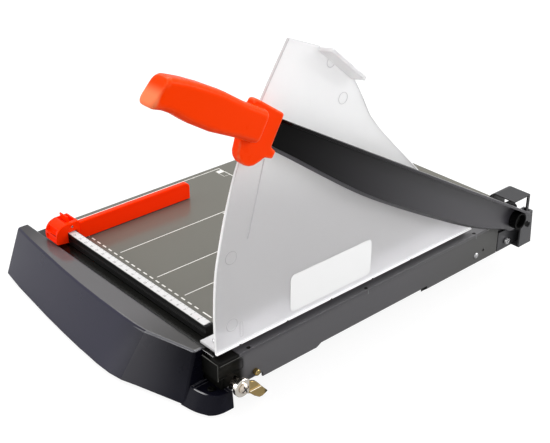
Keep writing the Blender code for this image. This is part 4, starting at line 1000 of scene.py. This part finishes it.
punchedShadeLook = {
    "eye": (0.2303, 0.0399), "eyeRadius": 0.0032, "eyeSides": 32, "slotFrom": (0.0755, 0.0146),
    "slotTo": (0.0845, 0.0176), "proud": 0.00005,
}


def makePunchedHoleShade(look):
    shape = bmesh.new()
    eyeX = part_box("pivot_bracket")[1].x
    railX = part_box("side_rail")[1].x
    turned = Matrix.Translation((eyeX, *look["eye"])) @ Matrix.Rotation(math.radians(90), 4, "Y")
    bmesh.ops.create_cone(
        shape, cap_ends=True, segments=look["eyeSides"], radius1=look["eyeRadius"], radius2=look["eyeRadius"],
        depth=look["proud"] * 2, matrix=turned,
    )
    addStrip(shape, (railX - look["proud"], *look["slotFrom"]), (railX + look["proud"], *look["slotTo"]))
    finishPiece(shape, "punched_hole_shade", "hollowPaintedShade")


makePunchedHoleShade(punchedShadeLook)
print("punched marks done")


# Studio: floor, light and camera

studio = {
    "floorSize": 60.0,
    "floorTiles": 24,
    "floorColour": (0.10, 0.10, 0.10, 1.0),
    "floorOther": (0.09, 0.09, 0.09, 1.0),
    "floorMottle": {"Scale": 1.5, "Amount": 0.3},
    "floorSmudge": {"Roughness": 0.5, "Spread": 0.05, "Scale": 3.0},
    "floorShade": (0.42, 0.42, 0.42, 1.0),
    "floorGlow": 0.91,
    "white": (1.0, 1.0, 1.0, 1.0),
    "worldStrength": 0.75,
    "lights": (
        ("topLight", (-0.5, 0.5, 1.75), 1.6, 36.0),
        ("rightLight", (1.3, 1.2, 0.9), 1.0, 16.0),
        ("frontLight", (-0.7, -1.7, 0.6), 0.9, 10.0),
    ),
    "target": (0.0, 0.0, 0.07),
}


def makeFloor(look):
    shape = bmesh.new()
    tiles = look["floorTiles"]
    bmesh.ops.create_grid(shape, x_segments=tiles, y_segments=tiles, size=look["floorSize"] / 2)
    bmesh.ops.translate(shape, verts=shape.verts, vec=(0, 0, floorZ))
    mesh = bpy.data.meshes.new("floor")
    shape.to_mesh(mesh)
    shape.free()
    floor = bpy.data.objects.new("floor", mesh)
    bpy.context.scene.collection.objects.link(floor)
    paper = bpy.data.materials.new("floorPaper")
    paper.use_nodes = True
    tree = paper.node_tree
    shader = tree.nodes["Principled BSDF"]
    where = tree.nodes.new("ShaderNodeTexCoord").outputs["Object"]
    smudge = placeGroup(tree, smudgeGroup, {"Vector": where, **look["floorSmudge"]})
    mottle = placeGroup(tree, mottleGroup, {
        "Vector": where, "Colour": look["floorColour"], "Other": look["floorOther"], **look["floorMottle"],
    })
    path = tree.nodes.new("ShaderNodeLightPath").outputs
    seen = addMath(tree, "MAXIMUM", path["Is Camera Ray"], path["Is Transmission Ray"])
    paperColour = addMix(tree, seen, look["floorShade"], mottle.outputs["Colour"])
    tree.links.new(paperColour, shader.inputs["Base Color"])
    tree.links.new(smudge.outputs["Roughness"], shader.inputs["Roughness"])
    shader.inputs["Emission Color"].default_value = look["white"]
    tree.links.new(addMath(tree, "MULTIPLY", seen, look["floorGlow"]), shader.inputs["Emission Strength"])
    mesh.materials.append(paper)


def makeLights(look):
    world = bpy.data.worlds.new("studio")
    world.use_nodes = True
    background = world.node_tree.nodes["Background"]
    background.inputs["Color"].default_value = look["white"]
    background.inputs["Strength"].default_value = look["worldStrength"]
    bpy.context.scene.world = world
    for name, place, size, power in look["lights"]:
        lamp = bpy.data.lights.new(name, "AREA")
        lamp.shape = "SQUARE"
        lamp.size = size
        lamp.energy = power
        light = bpy.data.objects.new(name, lamp)
        light.location = place
        aim = Vector(look["target"]) - Vector(place)
        light.rotation_euler = aim.to_track_quat("-Z", "Y").to_euler()
        bpy.context.scene.collection.objects.link(light)


cameraSetup = {
    "side": 0.5519, "front": 0.4375, "rise": 0.5096, "azimuth": 48.45, "elevation": 28.27, "lens": 67.42,
    "sensor": 36.0, "nearest": 0.01,
}


def makeCamera(look):
    lens = bpy.data.cameras.new("camera")
    lens.lens = look["lens"]
    lens.sensor_width = look["sensor"]
    lens.clip_start = look["nearest"]
    camera = bpy.data.objects.new("camera", lens)
    around, above = math.radians(look["azimuth"]), math.radians(look["elevation"])
    level = math.cos(above)
    back = Vector((math.sin(around) * level, -math.cos(around) * level, math.sin(above)))
    camera.location = (cutX + look["side"], squareY - look["front"], tableZ + look["rise"])
    camera.rotation_euler = (-back).to_track_quat("-Z", "Y").to_euler()
    bpy.context.scene.collection.objects.link(camera)
    bpy.context.scene.camera = camera
    bpy.context.scene.view_settings.view_transform = "Standard"


makeFloor(studio)
makeLights(studio)
makeCamera(cameraSetup)
print("studio ready")
